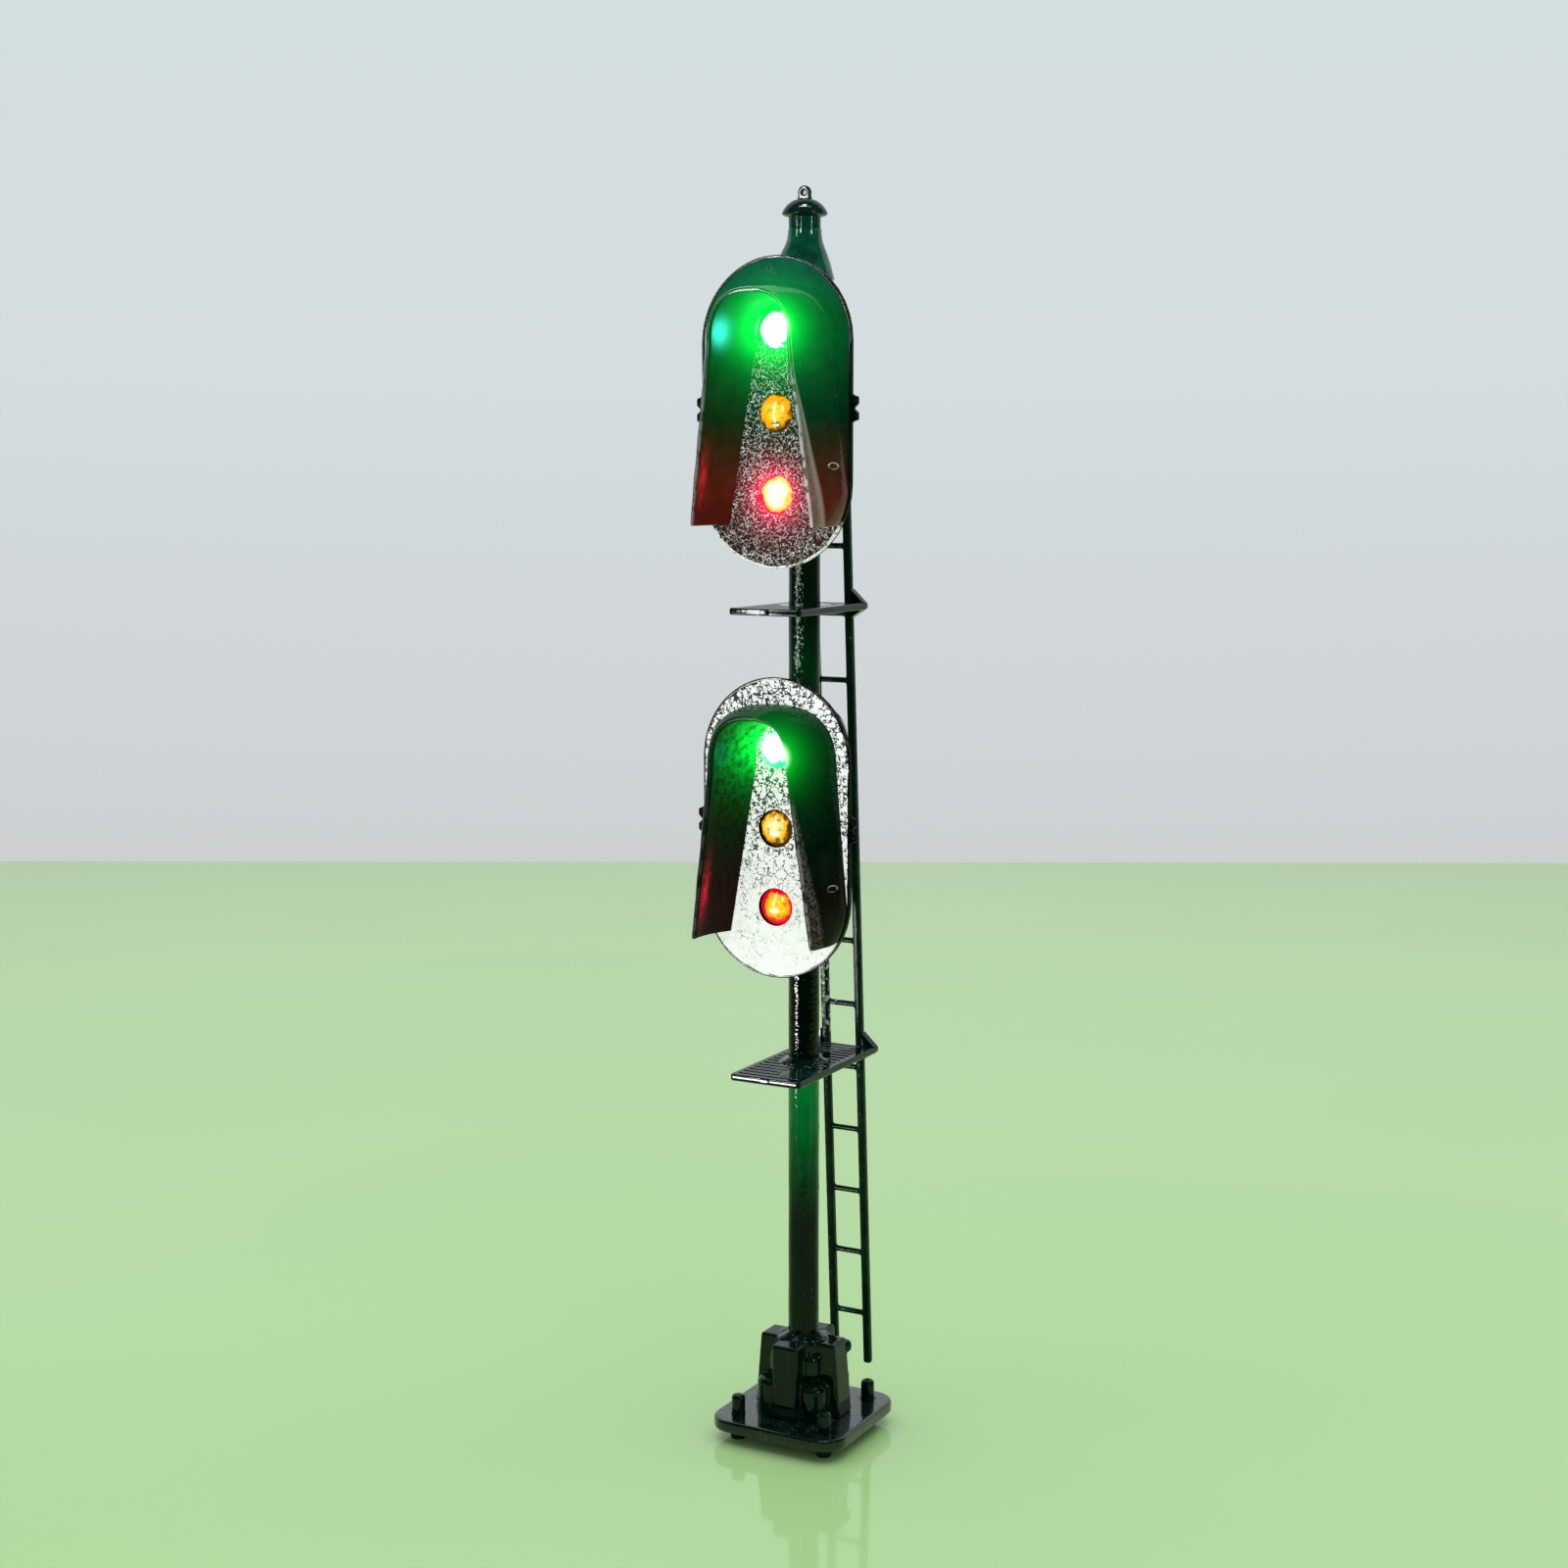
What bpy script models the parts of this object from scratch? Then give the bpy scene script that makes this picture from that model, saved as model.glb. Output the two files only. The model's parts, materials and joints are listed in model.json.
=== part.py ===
"""Model signal mast: a two-head colour-light signal on a tubular mast, in HO scale.

The named sizes are in millimetres and the meshes in metres. +Z is up, the heads face -Y, the
ladder stands at +Y, and the mast's axis is the line x = y = 0.
"""
import math

import bpy
from mathutils import Vector

MM = 0.001
FIT = 0.03                      # clearance between pieces that touch
SMOOTH_ANGLE = math.radians(38)

# mast
MAST_RADIUS = 1.25
MAST_BORE_RADIUS = 0.80
MAST_TOP = 97.6
LEAD_RADIUS = 0.55
LEAD_TOP = 88.0
LEAD_SLOT_WIDTH = 0.9
LEAD_SLOT_HEIGHT = 3.0

# base
PLATE_HALF = 5.9
PLATE_CORNER = 2.0
PLATE_BOTTOM = 1.05
PLATE_TOP = 1.97
PIN_OFFSET = 3.92
PIN_RADIUS = 0.54
FOOT_RADIUS = 0.64
PIN_TOP = 3.65
LEAD_OUTLET_RADIUS = 0.85
PEDESTAL_TOP = 8.1
PEDESTAL_CORE_TOP_RADIUS = 2.0
PEDESTAL_CORE_BASE_RADIUS = 3.4
PEDESTAL_COLLAR_RADIUS = 2.2
RIB_WIDTH = 2.3
RIB_REACH_TOP = 3.35
RIB_REACH_BASE = 3.85
FRONT_RIB_BOTTOM = 3.0

# ladder: its plane leans away from the mast towards the foot
LADDER_HALF = 1.55
STRINGER = 0.6
RUNG_RADIUS = 0.23
RUNG_COUNT = 14
RUNG_FIRST = 7.5
RUNG_PITCH = 5.4
LADDER_BOTTOM = 3.1
LADDER_TOP = 79.4
LADDER_FOOT_Y = 8.746
LADDER_HEAD_Y = 3.96

# platforms
PLATFORM_HALF = 3.13
PLATFORM_FRONT = -6.65
PLATFORM_THICKNESS = 0.55
UPPER_PLATFORM_TOP = 67.8
LOWER_PLATFORM_TOP = 31.1
PLATFORM_SLOT_PITCH = 0.8
PLATFORM_SLOT_WIDTH = 0.4
PLATFORM_SLOT_HALF = 2.6
PLATFORM_HUB_RADIUS = 2.0
LUG_HEIGHT = 1.1
LUG_DEPTH = 0.5

# heads, measured from each head's own centre on the mast's axis
UPPER_HEAD = 82.6
LOWER_HEAD = 50.6
TARGET_FACE = -4.75
TARGET_THICKNESS = 0.46
TARGET_HALF_WIDTH = 6.45
TARGET_HALF_HEIGHT = 11.8
EAR_REACH = 6.95
EAR_HEIGHT = 0.3
LAMP_PITCH = 6.2
LENS_HOLE_RADIUS = 1.5
LAMP_RADIUS = 1.45
LAMP_TIP = -4.97
LAMP_SHOULDER = -4.35
LAMP_FLANGE_RADIUS = 1.65
LAMP_FLANGE_FRONT = -2.9
BOARD_FRONT = -2.25
BOARD_BACK = -1.75
BOARD_HALF_WIDTH = 3.1
BOARD_HALF_HEIGHT = 8.6
LEG_OFFSET = 0.65
LEG_HALF = 0.13
LEG_END = -1.45
LEG_HOLE_RADIUS = 0.25
CASE_SPLIT = 0.0
CASE_SHAPE = (                  # depth, half-width and half-height, from the back to the target
    (2.2, 2.1, 8.4),
    (2.05, 2.55, 8.9),
    (1.7, 2.95, 9.3),
    (1.1, 3.35, 9.65),
    (CASE_SPLIT, 3.75, 10.0),
    (-2.2, 3.95, 10.15),
    (TARGET_FACE + TARGET_THICKNESS + FIT, 4.05, 10.2),
)
CASE_WALL = 0.6
CASE_END_WALL = 1.0
BELL_FOOT = 10.2
BELL_TOP = 14.1

# hood: an inverted U on the target, thick where it meets the target and thin at its lip
HOOD_FOOT = -8.4
HOOD_SPRING = 4.7
HOOD_DEPTH_CROWN = 4.26
HOOD_DEPTH_FOOT = 3.85
HOOD_LIP = 0.32
HOOD_SIDE_STEPS = 8
HOOD_ARCH_STEPS = 16

# finial
CAP_RIM_HEIGHT = 97.85
CAP_RIM_RADIUS = 1.77
CAP_CROWN = 98.97
EYE_CENTRE = 99.48
EYE_RADIUS = 0.52
EYE_HOLE_RADIUS = 0.2
EYE_HALF_THICKNESS = 0.19

BOTTLE_GREEN = (0.010, 0.034, 0.022)
NEAR_BLACK = (0.010, 0.018, 0.014)
LAMPS = {
    "green": (LAMP_PITCH, (0.02, 0.75, 0.20)),
    "amber": (0.0, (0.95, 0.48, 0.02)),
    "red": (-LAMP_PITCH, (0.85, 0.03, 0.02)),
}


def clear_scene():
    for obj in list(bpy.data.objects):
        bpy.data.objects.remove(obj, do_unlink=True)


def material(name, colour, roughness, metallic=0.0, glow=0.0):
    mat = bpy.data.materials.new(name)
    mat.use_nodes = True
    shader = mat.node_tree.nodes["Principled BSDF"]
    shader.inputs["Base Color"].default_value = (*colour, 1.0)
    shader.inputs["Roughness"].default_value = roughness
    shader.inputs["Metallic"].default_value = metallic
    if glow:
        shader.inputs["Emission Color"].default_value = (*colour, 1.0)
        shader.inputs["Emission Strength"].default_value = glow
    return mat


# ---------------------------------------------------------------- mesh helpers (millimetres in)

def solid(name, points, faces):
    """A mesh object from points in millimetres and its faces, wound outwards."""
    mesh = bpy.data.meshes.new(name)
    mesh.from_pydata([Vector(p) * MM for p in points], [], faces)
    mesh.validate()
    obj = bpy.data.objects.new(name, mesh)
    bpy.context.scene.collection.objects.link(obj)
    return obj


def loft(name, sections):
    """A closed solid through rings of equal length, which run anticlockwise seen from the last."""
    count = len(sections[0])
    points = [p for ring in sections for p in ring]
    faces = []
    for row in range(len(sections) - 1):
        for i in range(count):
            j = (i + 1) % count
            low, high = row * count, (row + 1) * count
            faces.append((low + i, low + j, high + j, high + i))
    faces.append(tuple(reversed(range(count))))
    faces.append(tuple(range(len(points) - count, len(points))))
    return solid(name, points, faces)


def circle(radius, height, steps=32, x=0.0, y=0.0, squash=1.0):
    ring = []
    for i in range(steps):
        angle = 2.0 * math.pi * i / steps
        ring.append((x + radius * math.cos(angle), y + squash * radius * math.sin(angle), height))
    return ring


def turned(name, profile, steps=32, x=0.0, y=0.0):
    """A solid of revolution about a vertical line, from (radius, height) pairs going up."""
    return loft(name, [circle(radius, height, steps, x, y) for radius, height in profile])


def turned_along_y(name, profile, steps=32, z=0.0):
    """A solid of revolution about a line along Y, from (radius, y) pairs with y falling."""
    sections = []
    for radius, place in profile:
        ring = [(px, place, z + py) for px, py, _ in circle(radius, 0.0, steps)]
        sections.append(ring)
    return loft(name, sections)


def prism(name, outline, low, high):
    """An upright prism over an anticlockwise outline of (x, y)."""
    return loft(name, [[(x, y, low) for x, y in outline], [(x, y, high) for x, y in outline]])


def slab(name, outline, back, front):
    """A prism along -Y over an anticlockwise outline of (x, z), seen from the front."""
    return loft(name, [[(x, back, z) for x, z in outline], [(x, front, z) for x, z in outline]])


def box(name, x0, x1, y0, y1, z0, z1):
    return prism(name, [(x0, y0), (x1, y0), (x1, y1), (x0, y1)], z0, z1)


def rounded_square(half, corner, steps=7):
    outline = []
    for quarter in range(4):
        start = quarter * math.pi / 2
        cx = (half - corner) * (1 if quarter in (0, 3) else -1)
        cy = (half - corner) * (1 if quarter in (0, 1) else -1)
        for i in range(steps + 1):
            angle = start + (math.pi / 2) * i / steps
            outline.append((cx + corner * math.cos(angle), cy + corner * math.sin(angle)))
    return outline


def stadium(half_width, half_height, right=(), left=(), steps=20):
    """An upright oval with round ends, plus extra points up its right and down its left side."""
    centre = half_height - half_width
    outline = list(right)
    for i in range(steps + 1):
        angle = math.pi * i / steps
        outline.append((half_width * math.cos(angle), centre + half_width * math.sin(angle)))
    outline += list(left)
    for i in range(steps + 1):
        angle = math.pi + math.pi * i / steps
        outline.append((half_width * math.cos(angle), half_width * math.sin(angle) - centre))
    return outline


def bake(obj):
    """Turn the object's modifiers into its mesh."""
    bpy.context.view_layer.update()
    evaluated = obj.evaluated_get(bpy.context.evaluated_depsgraph_get())
    mesh = bpy.data.meshes.new_from_object(evaluated)
    obj.modifiers.clear()
    obj.data = mesh


def soften(obj, width, segments=2, angle=40):
    bevel = obj.modifiers.new("soft_edges", "BEVEL")
    bevel.width = width * MM
    bevel.segments = segments
    bevel.limit_method = "ANGLE"
    bevel.angle_limit = math.radians(angle)
    bake(obj)
    return obj


def combine(obj, tools, operation):
    """Cut the tools out of the object, or join them to it, and delete them."""
    for tool in tools:
        boolean = obj.modifiers.new("combine", "BOOLEAN")
        boolean.operation = operation
        boolean.object = tool
    bake(obj)
    for tool in tools:
        bpy.data.objects.remove(tool, do_unlink=True)
    return obj


def cut(obj, *tools):
    return combine(obj, tools, "DIFFERENCE")


def join(obj, *tools):
    return combine(obj, tools, "UNION")


def finish(obj, mat, parent=None):
    """Give the object its one material, smooth shading with crisp edges, and its parent."""
    obj.data.materials.clear()
    obj.data.materials.append(mat)
    obj.data.shade_smooth()
    obj.data.set_sharp_from_angle(angle=SMOOTH_ANGLE)
    obj.parent = parent
    return obj


def ladder_y(height):
    """Depth of the ladder's middle plane at a height."""
    part = (height - LADDER_BOTTOM) / (LADDER_TOP - LADDER_BOTTOM)
    return LADDER_FOOT_Y + (LADDER_HEAD_Y - LADDER_FOOT_Y) * part


# ---------------------------------------------------------------- base

def base_plate(mat):
    plate = prism("base_plate", rounded_square(PLATE_HALF, PLATE_CORNER), PLATE_BOTTOM, PLATE_TOP)
    soften(plate, 0.14)
    over = 0.5
    holes = [(0.0, 0.0, LEAD_OUTLET_RADIUS)]
    for sx in (-1, 1):
        for sy in (-1, 1):
            holes.append((sx * PIN_OFFSET, sy * PIN_OFFSET, PIN_RADIUS + FIT))
    for x, y, radius in holes:
        profile = [(radius, PLATE_BOTTOM - over), (radius, PLATE_TOP + over)]
        cut(plate, turned("hole", profile, 20, x, y))
    finish(plate, mat)


def anchor_pins(mat):
    """A pin at each corner: a round foot below the plate and a stud above it."""
    names = {(-1, -1): "front_left", (1, -1): "front_right",
             (1, 1): "rear_right", (-1, 1): "rear_left"}
    under = PLATE_BOTTOM - FIT
    profile = [
        (FOOT_RADIUS - 0.08, 0.0), (FOOT_RADIUS, 0.08), (FOOT_RADIUS, under), (PIN_RADIUS, under),
        (PIN_RADIUS, PIN_TOP - 0.22), (PIN_RADIUS * 0.82, PIN_TOP - 0.06), (PIN_RADIUS * 0.45, PIN_TOP),
    ]
    for (sx, sy), place in names.items():
        pin = turned(f"anchor_pin_{place}", profile, 20)
        pin.location = (sx * PIN_OFFSET * MM, sy * PIN_OFFSET * MM, 0.0)
        finish(pin, mat)


def pedestal_rib(index):
    """One buttress rib. Rib 0 is the front one, which stops short of the plate."""
    half = RIB_WIDTH / 2
    inner = -1.5
    if index == 0:
        bottom, reach_base, narrow = FRONT_RIB_BOTTOM, RIB_REACH_TOP + 0.1, 0.88
    else:
        bottom, reach_base, narrow = PLATE_TOP + FIT, RIB_REACH_BASE, 1.0
    top = PEDESTAL_TOP - 0.02
    low = [(-half * narrow, -reach_base), (half * narrow, -reach_base)]
    high = [(-half, -RIB_REACH_TOP), (half, -RIB_REACH_TOP)]
    rings = []
    for outline, height in ((low, bottom), (high, top)):
        ring = [(x, y, height) for x, y in outline]
        ring += [(half, inner, height), (-half, inner, height)]
        rings.append(ring)
    rib = loft("rib", rings)
    rib.rotation_euler.z = index * math.pi / 2
    return soften(rib, 0.14)


def mast_pedestal(mat):
    """Socket casting: a tapered core, four ribs, a collar plate and round bosses between ribs."""
    bottom = PLATE_TOP + FIT
    core = turned("mast_pedestal", [
        (PEDESTAL_CORE_BASE_RADIUS, bottom), (PEDESTAL_CORE_BASE_RADIUS, bottom + 0.5),
        (PEDESTAL_CORE_TOP_RADIUS, 5.6), (PEDESTAL_CORE_TOP_RADIUS, PEDESTAL_TOP - 0.35)], 36)
    collar_profile = [(PEDESTAL_COLLAR_RADIUS, PEDESTAL_TOP - 0.75), (PEDESTAL_COLLAR_RADIUS, PEDESTAL_TOP)]
    collar = soften(turned("collar", collar_profile, 36), 0.12)
    bosses = []
    for i in range(4):
        angle = math.pi / 4 + i * math.pi / 2
        low = [(1.12, bottom), (1.12, 4.55), (0.92, 4.85), (0.4, 4.97)]
        high = [(0.55, 5.1), (0.8, 5.6), (0.8, 6.75), (0.6, 7.1), (0.25, 7.25)]
        for reach, profile in ((2.75, low), (2.0, high)):
            x, y = reach * math.cos(angle), reach * math.sin(angle)
            bosses.append(turned("boss", profile, 16, x, y))
    knob_profile = [(0.18, 6.75), (0.46, 6.95), (0.52, 7.3), (0.46, 7.6), (0.18, 7.8)]
    knob = turned("knob", knob_profile, 16, 3.15, 1.35)
    join(core, collar, *[pedestal_rib(i) for i in range(4)])
    join(core, *bosses)
    join(core, knob)
    bore = MAST_RADIUS + FIT + 0.01
    cut(core, turned("bore", [(bore, 1.0), (bore, PEDESTAL_TOP + 1.0)], 32))
    finish(core, mat)


# ---------------------------------------------------------------- mast, finial, platforms, ladder

def mast_tube(mat):
    bottom = PLATE_TOP + FIT
    tube = turned("mast_tube", [
        (MAST_RADIUS - 0.08, bottom), (MAST_RADIUS, bottom + 0.08),
        (MAST_RADIUS, MAST_TOP - 0.08), (MAST_RADIUS - 0.08, MAST_TOP)])
    cut(tube, turned("bore", [(MAST_BORE_RADIUS, 0.0), (MAST_BORE_RADIUS, MAST_TOP + 1.0)], 24))
    for height in (UPPER_HEAD, LOWER_HEAD):
        half_width, half_height = LEAD_SLOT_WIDTH / 2, LEAD_SLOT_HEIGHT / 2
        cut(tube, box("slot", -half_width, half_width, -MAST_RADIUS - 0.5, 0.0,
                      height - half_height, height + half_height))
    finish(tube, mat)


def lead_bundle(mat):
    """The lamps' leads, as one core down the mast's bore to the outlet in the base plate."""
    core = turned("lead_bundle", [(LEAD_RADIUS, PLATE_BOTTOM + 0.05), (LEAD_RADIUS, LEAD_TOP)], 16)
    finish(core, mat)


def finial_cap(mat):
    """A mushroom cap that plugs the mast, with an upright eye."""
    plug = MAST_BORE_RADIUS - FIT
    seat = MAST_TOP + FIT
    cap = turned("finial_cap", [
        (plug - 0.1, 96.0), (plug, 96.15), (plug, seat), (MAST_RADIUS + 0.1, seat),
        (CAP_RIM_RADIUS - 0.1, CAP_RIM_HEIGHT - 0.1), (CAP_RIM_RADIUS, CAP_RIM_HEIGHT),
        (CAP_RIM_RADIUS - 0.03, CAP_RIM_HEIGHT + 0.13), (1.62, 98.22), (1.42, 98.48), (1.18, 98.69),
        (0.92, 98.86), (0.5, CAP_CROWN)])
    lug = [(-0.66, 98.8), (0.66, 98.8), (0.5, 99.2)]
    for i in range(13):
        angle = math.radians(-15 + 210 * i / 12)
        lug.append((EYE_RADIUS * math.cos(angle), EYE_CENTRE + EYE_RADIUS * math.sin(angle)))
    lug.append((-0.5, 99.2))
    eye = slab("eye", lug, EYE_HALF_THICKNESS, -EYE_HALF_THICKNESS)
    soften(eye, 0.05)
    join(cap, eye)
    hole = turned_along_y("hole", [(EYE_HOLE_RADIUS, 1.0), (EYE_HOLE_RADIUS, -1.0)], 16, EYE_CENTRE)
    cut(cap, hole)
    finish(cap, mat)


def slot_tools(rear):
    """Cutters for the rows of slots across a platform, which stop at its hub."""
    tools = []
    row = PLATFORM_FRONT + 0.75
    clear = 0.35
    while row < rear - 0.45:
        low, high = row - PLATFORM_SLOT_WIDTH / 2, row + PLATFORM_SLOT_WIDTH / 2
        near = min(abs(low), abs(high))
        if near < PLATFORM_HUB_RADIUS:
            hub = math.sqrt(PLATFORM_HUB_RADIUS ** 2 - near ** 2)
            spans = [(-PLATFORM_SLOT_HALF, -hub), (hub, PLATFORM_SLOT_HALF)]
        else:
            spans = [(-PLATFORM_SLOT_HALF, PLATFORM_SLOT_HALF)]
        tools += [(x0, x1, low, high) for x0, x1 in spans if x1 - x0 > clear]
        row += PLATFORM_SLOT_PITCH
    return tools


def platform(name, top, mat):
    """A slotted tread round the mast, with a corner lug beside each ladder stringer."""
    bottom = top - PLATFORM_THICKNESS
    at_ladder = ladder_y(top - PLATFORM_THICKNESS / 2)
    half_stringer = STRINGER / 2
    rear = at_ladder - half_stringer - 0.06
    corner = 0.2
    outline = [
        (-PLATFORM_HALF, PLATFORM_FRONT + corner), (-PLATFORM_HALF + corner, PLATFORM_FRONT),
        (PLATFORM_HALF - corner, PLATFORM_FRONT), (PLATFORM_HALF, PLATFORM_FRONT + corner),
        (PLATFORM_HALF, rear), (-PLATFORM_HALF, rear)]
    tread = soften(prism(name, outline, bottom, top), 0.13)
    gate = box("gate", -0.28, 0.42, PLATFORM_FRONT - 0.14, PLATFORM_FRONT + 0.4,
               bottom + 0.12, top - 0.1)
    join(tread, gate)
    for side in (-1, 1):
        inner = side * (LADDER_HALF + half_stringer + FIT + 0.01)
        outer = side * (PLATFORM_HALF - 0.02)
        profile = [(inner, bottom - 0.7), (outer, bottom + 0.1),
                   (outer, top - 0.05), (inner, top + LUG_HEIGHT)]
        if side < 0:
            profile.reverse()
        join(tread, slab("lug", profile, at_ladder + LUG_DEPTH / 2, at_ladder - LUG_DEPTH))
    for x0, x1, y0, y1 in slot_tools(rear):
        cut(tread, box("slot", x0, x1, y0, y1, bottom - 0.5, top + 0.5))
    bore = MAST_RADIUS + FIT
    cut(tread, turned("bore", [(bore, bottom - 1.0), (bore, top + 1.0)], 32))
    finish(tread, mat)


def ladder(mat):
    """Two square stringers and round rungs, all in one leaning plane."""
    heights = [LADDER_BOTTOM]
    heights += [RUNG_FIRST + (i + 0.5) * RUNG_PITCH for i in range(RUNG_COUNT - 1)]
    heights.append(LADDER_TOP)

    def stringer(x):
        rings = []
        for height in heights:
            y = ladder_y(height)
            half = STRINGER / 2
            rings.append([(x - half, y - half, height), (x + half, y - half, height),
                          (x + half, y + half, height), (x - half, y + half, height)])
        return soften(loft("ladder", rings), 0.1, 2)

    frame = stringer(-LADDER_HALF)
    join(frame, stringer(LADDER_HALF))
    for i in range(RUNG_COUNT):
        height = RUNG_FIRST + i * RUNG_PITCH
        y = ladder_y(height)
        rings = []
        for x in (-LADDER_HALF, LADDER_HALF):
            rings.append([(x, y + py, height + pz) for py, pz, _ in circle(RUNG_RADIUS, 0.0, 10)])
        join(frame, loft("rung", rings))
    finish(frame, mat)


# ---------------------------------------------------------------- heads

def target_plate(name, mat, parent):
    """The oval background plate, with three lens holes and a notched ear on each side."""
    ear = [
        (TARGET_HALF_WIDTH, -1.05), (EAR_REACH, -0.85), (EAR_REACH, -0.35), (EAR_REACH - 0.35, 0.0),
        (EAR_REACH, 0.35), (EAR_REACH, 0.85), (TARGET_HALF_WIDTH, 1.05)]
    right = [(x, EAR_HEIGHT + z) for x, z in ear]
    left = [(-x, z) for x, z in reversed(right)]
    outline = stadium(TARGET_HALF_WIDTH, TARGET_HALF_HEIGHT, right, left)
    plate = slab(name, outline, TARGET_FACE + TARGET_THICKNESS, TARGET_FACE)
    soften(plate, 0.05, 1, 60)
    for height, _ in LAMPS.values():
        profile = [(LENS_HOLE_RADIUS, 0.0), (LENS_HOLE_RADIUS, TARGET_FACE - 1.0)]
        cut(plate, turned_along_y("hole", profile, 32, height))
    finish(plate, mat, parent)


def target_edge(height):
    """Half-width of the target at a height."""
    drop = abs(height) - (TARGET_HALF_HEIGHT - TARGET_HALF_WIDTH)
    return TARGET_HALF_WIDTH if drop <= 0 else math.sqrt(TARGET_HALF_WIDTH ** 2 - drop ** 2)


def hood_half_width(height, reach, outer):
    """Half-width of the hood's outer or inner skin; reach runs from 0 at the target to 1 at the lip."""
    below = HOOD_SPRING - height
    if outer:
        at_target = min(5.35 + 0.09 * below, target_edge(height) - 0.12)
        at_lip = 3.55 + 0.133 * below
        bulge = 0.35
    else:
        at_target = 1.72 + 0.173 * below
        at_lip = 3.55 - HOOD_LIP + 0.133 * below
        bulge = 0.25
    return at_target + (at_lip - at_target) * reach + 4.0 * bulge * reach * (1.0 - reach)


def hood_rail(reach, outer):
    """One line along the hood, from its left foot over the crown to its right foot."""
    crown_target, crown_lip = (9.75, 9.12) if outer else (8.1, 9.12 - HOOD_LIP)
    crown = crown_target + (crown_lip - crown_target) * reach + 0.8 * reach * (1.0 - reach)
    power = 2.0 / (2.6 if outer else 2.2 + 0.5 * reach)
    spring_half = hood_half_width(HOOD_SPRING, reach, outer)
    rise = HOOD_SPRING - HOOD_FOOT
    rail = []
    for i in range(HOOD_SIDE_STEPS):
        height = HOOD_FOOT + rise * i / HOOD_SIDE_STEPS
        rail.append((-hood_half_width(height, reach, outer), height))
    for i in range(HOOD_ARCH_STEPS + 1):
        angle = math.pi * (1.0 - i / HOOD_ARCH_STEPS)
        c, s = math.cos(angle), max(math.sin(angle), 0.0)
        x = math.copysign(abs(c) ** power, c) * spring_half
        rail.append((x, HOOD_SPRING + (crown - HOOD_SPRING) * s ** power))
    for i in range(HOOD_SIDE_STEPS):
        height = HOOD_SPRING - rise * (i + 1) / HOOD_SIDE_STEPS
        rail.append((hood_half_width(height, reach, outer), height))
    points = []
    for x, z in rail:
        part = min(max((z - HOOD_FOOT) / rise, 0.0), 1.0)
        depth = HOOD_DEPTH_FOOT + (HOOD_DEPTH_CROWN - HOOD_DEPTH_FOOT) * part
        points.append((x, TARGET_FACE - FIT - depth * reach, z))
    return points


def hood(name, mat, parent):
    rails = [hood_rail(reach, True) for reach in (0.0, 0.3, 0.6, 0.85, 1.0)]
    rails += [hood_rail(reach, False) for reach in (1.0, 0.8, 0.5, 0.2, 0.0)]
    count = len(rails[0])
    sections = []
    for station in range(count):
        sections.append([rail[station] for rail in rails])
    finish(loft(name, sections), mat, parent)


def lamp(name, height, mat, parent):
    """A 3 mm lamp: low dome, round body, flange and two legs through the board."""
    tip, shoulder = LAMP_TIP, LAMP_SHOULDER
    profile = [(LAMP_FLANGE_RADIUS, BOARD_FRONT - 0.05), (LAMP_FLANGE_RADIUS, LAMP_FLANGE_FRONT)]
    profile += [(LAMP_RADIUS, LAMP_FLANGE_FRONT), (LAMP_RADIUS, shoulder)]
    for i in range(1, 6):
        angle = (math.pi / 2) * i / 6
        profile.append((LAMP_RADIUS * math.cos(angle), shoulder + (tip - shoulder) * math.sin(angle)))
    profile.append((0.06, tip))
    body = turned_along_y(name, profile, 28, height)
    for side in (-1, 1):
        x = side * LEG_OFFSET
        leg = box("leg", x - LEG_HALF, x + LEG_HALF, BOARD_FRONT - 0.3, LEG_END,
                  height - LEG_HALF, height + LEG_HALF)
        join(body, leg)
    finish(body, mat, parent)


def lamp_board(name, mat, parent):
    board = slab(name, stadium(BOARD_HALF_WIDTH, BOARD_HALF_HEIGHT), BOARD_BACK, BOARD_FRONT)
    soften(board, 0.06, 1)
    for height, _ in LAMPS.values():
        for side in (-1, 1):
            profile = [(LEG_HOLE_RADIUS, 0.0), (LEG_HOLE_RADIUS, BOARD_FRONT - 1.0)]
            hole = turned_along_y("hole", profile, 12, height)
            hole.location.x = side * LEG_OFFSET * MM
            cut(board, hole)
    finish(board, mat, parent)


def mast_bore_tool():
    bore = MAST_RADIUS + FIT
    return turned("bore", [(bore, -30.0), (bore, 30.0)], 32)


def case_size(depth):
    """Half-width and half-height of the head's body at a depth, read between its stations."""
    for (y0, w0, h0), (y1, w1, h1) in zip(CASE_SHAPE, CASE_SHAPE[1:]):
        if y0 >= depth >= y1:
            part = (y0 - depth) / (y0 - y1)
            return w0 + (w1 - w0) * part, h0 + (h1 - h0) * part
    return CASE_SHAPE[-1][1:]


def case_loft(name, depths, wall=0.0, end_wall=0.0):
    sections = []
    for depth in depths:
        half_width, half_height = case_size(depth)
        outline = stadium(half_width - wall, half_height - end_wall)
        sections.append([(x, depth, z) for x, z in outline])
    return loft(name, sections)


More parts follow.
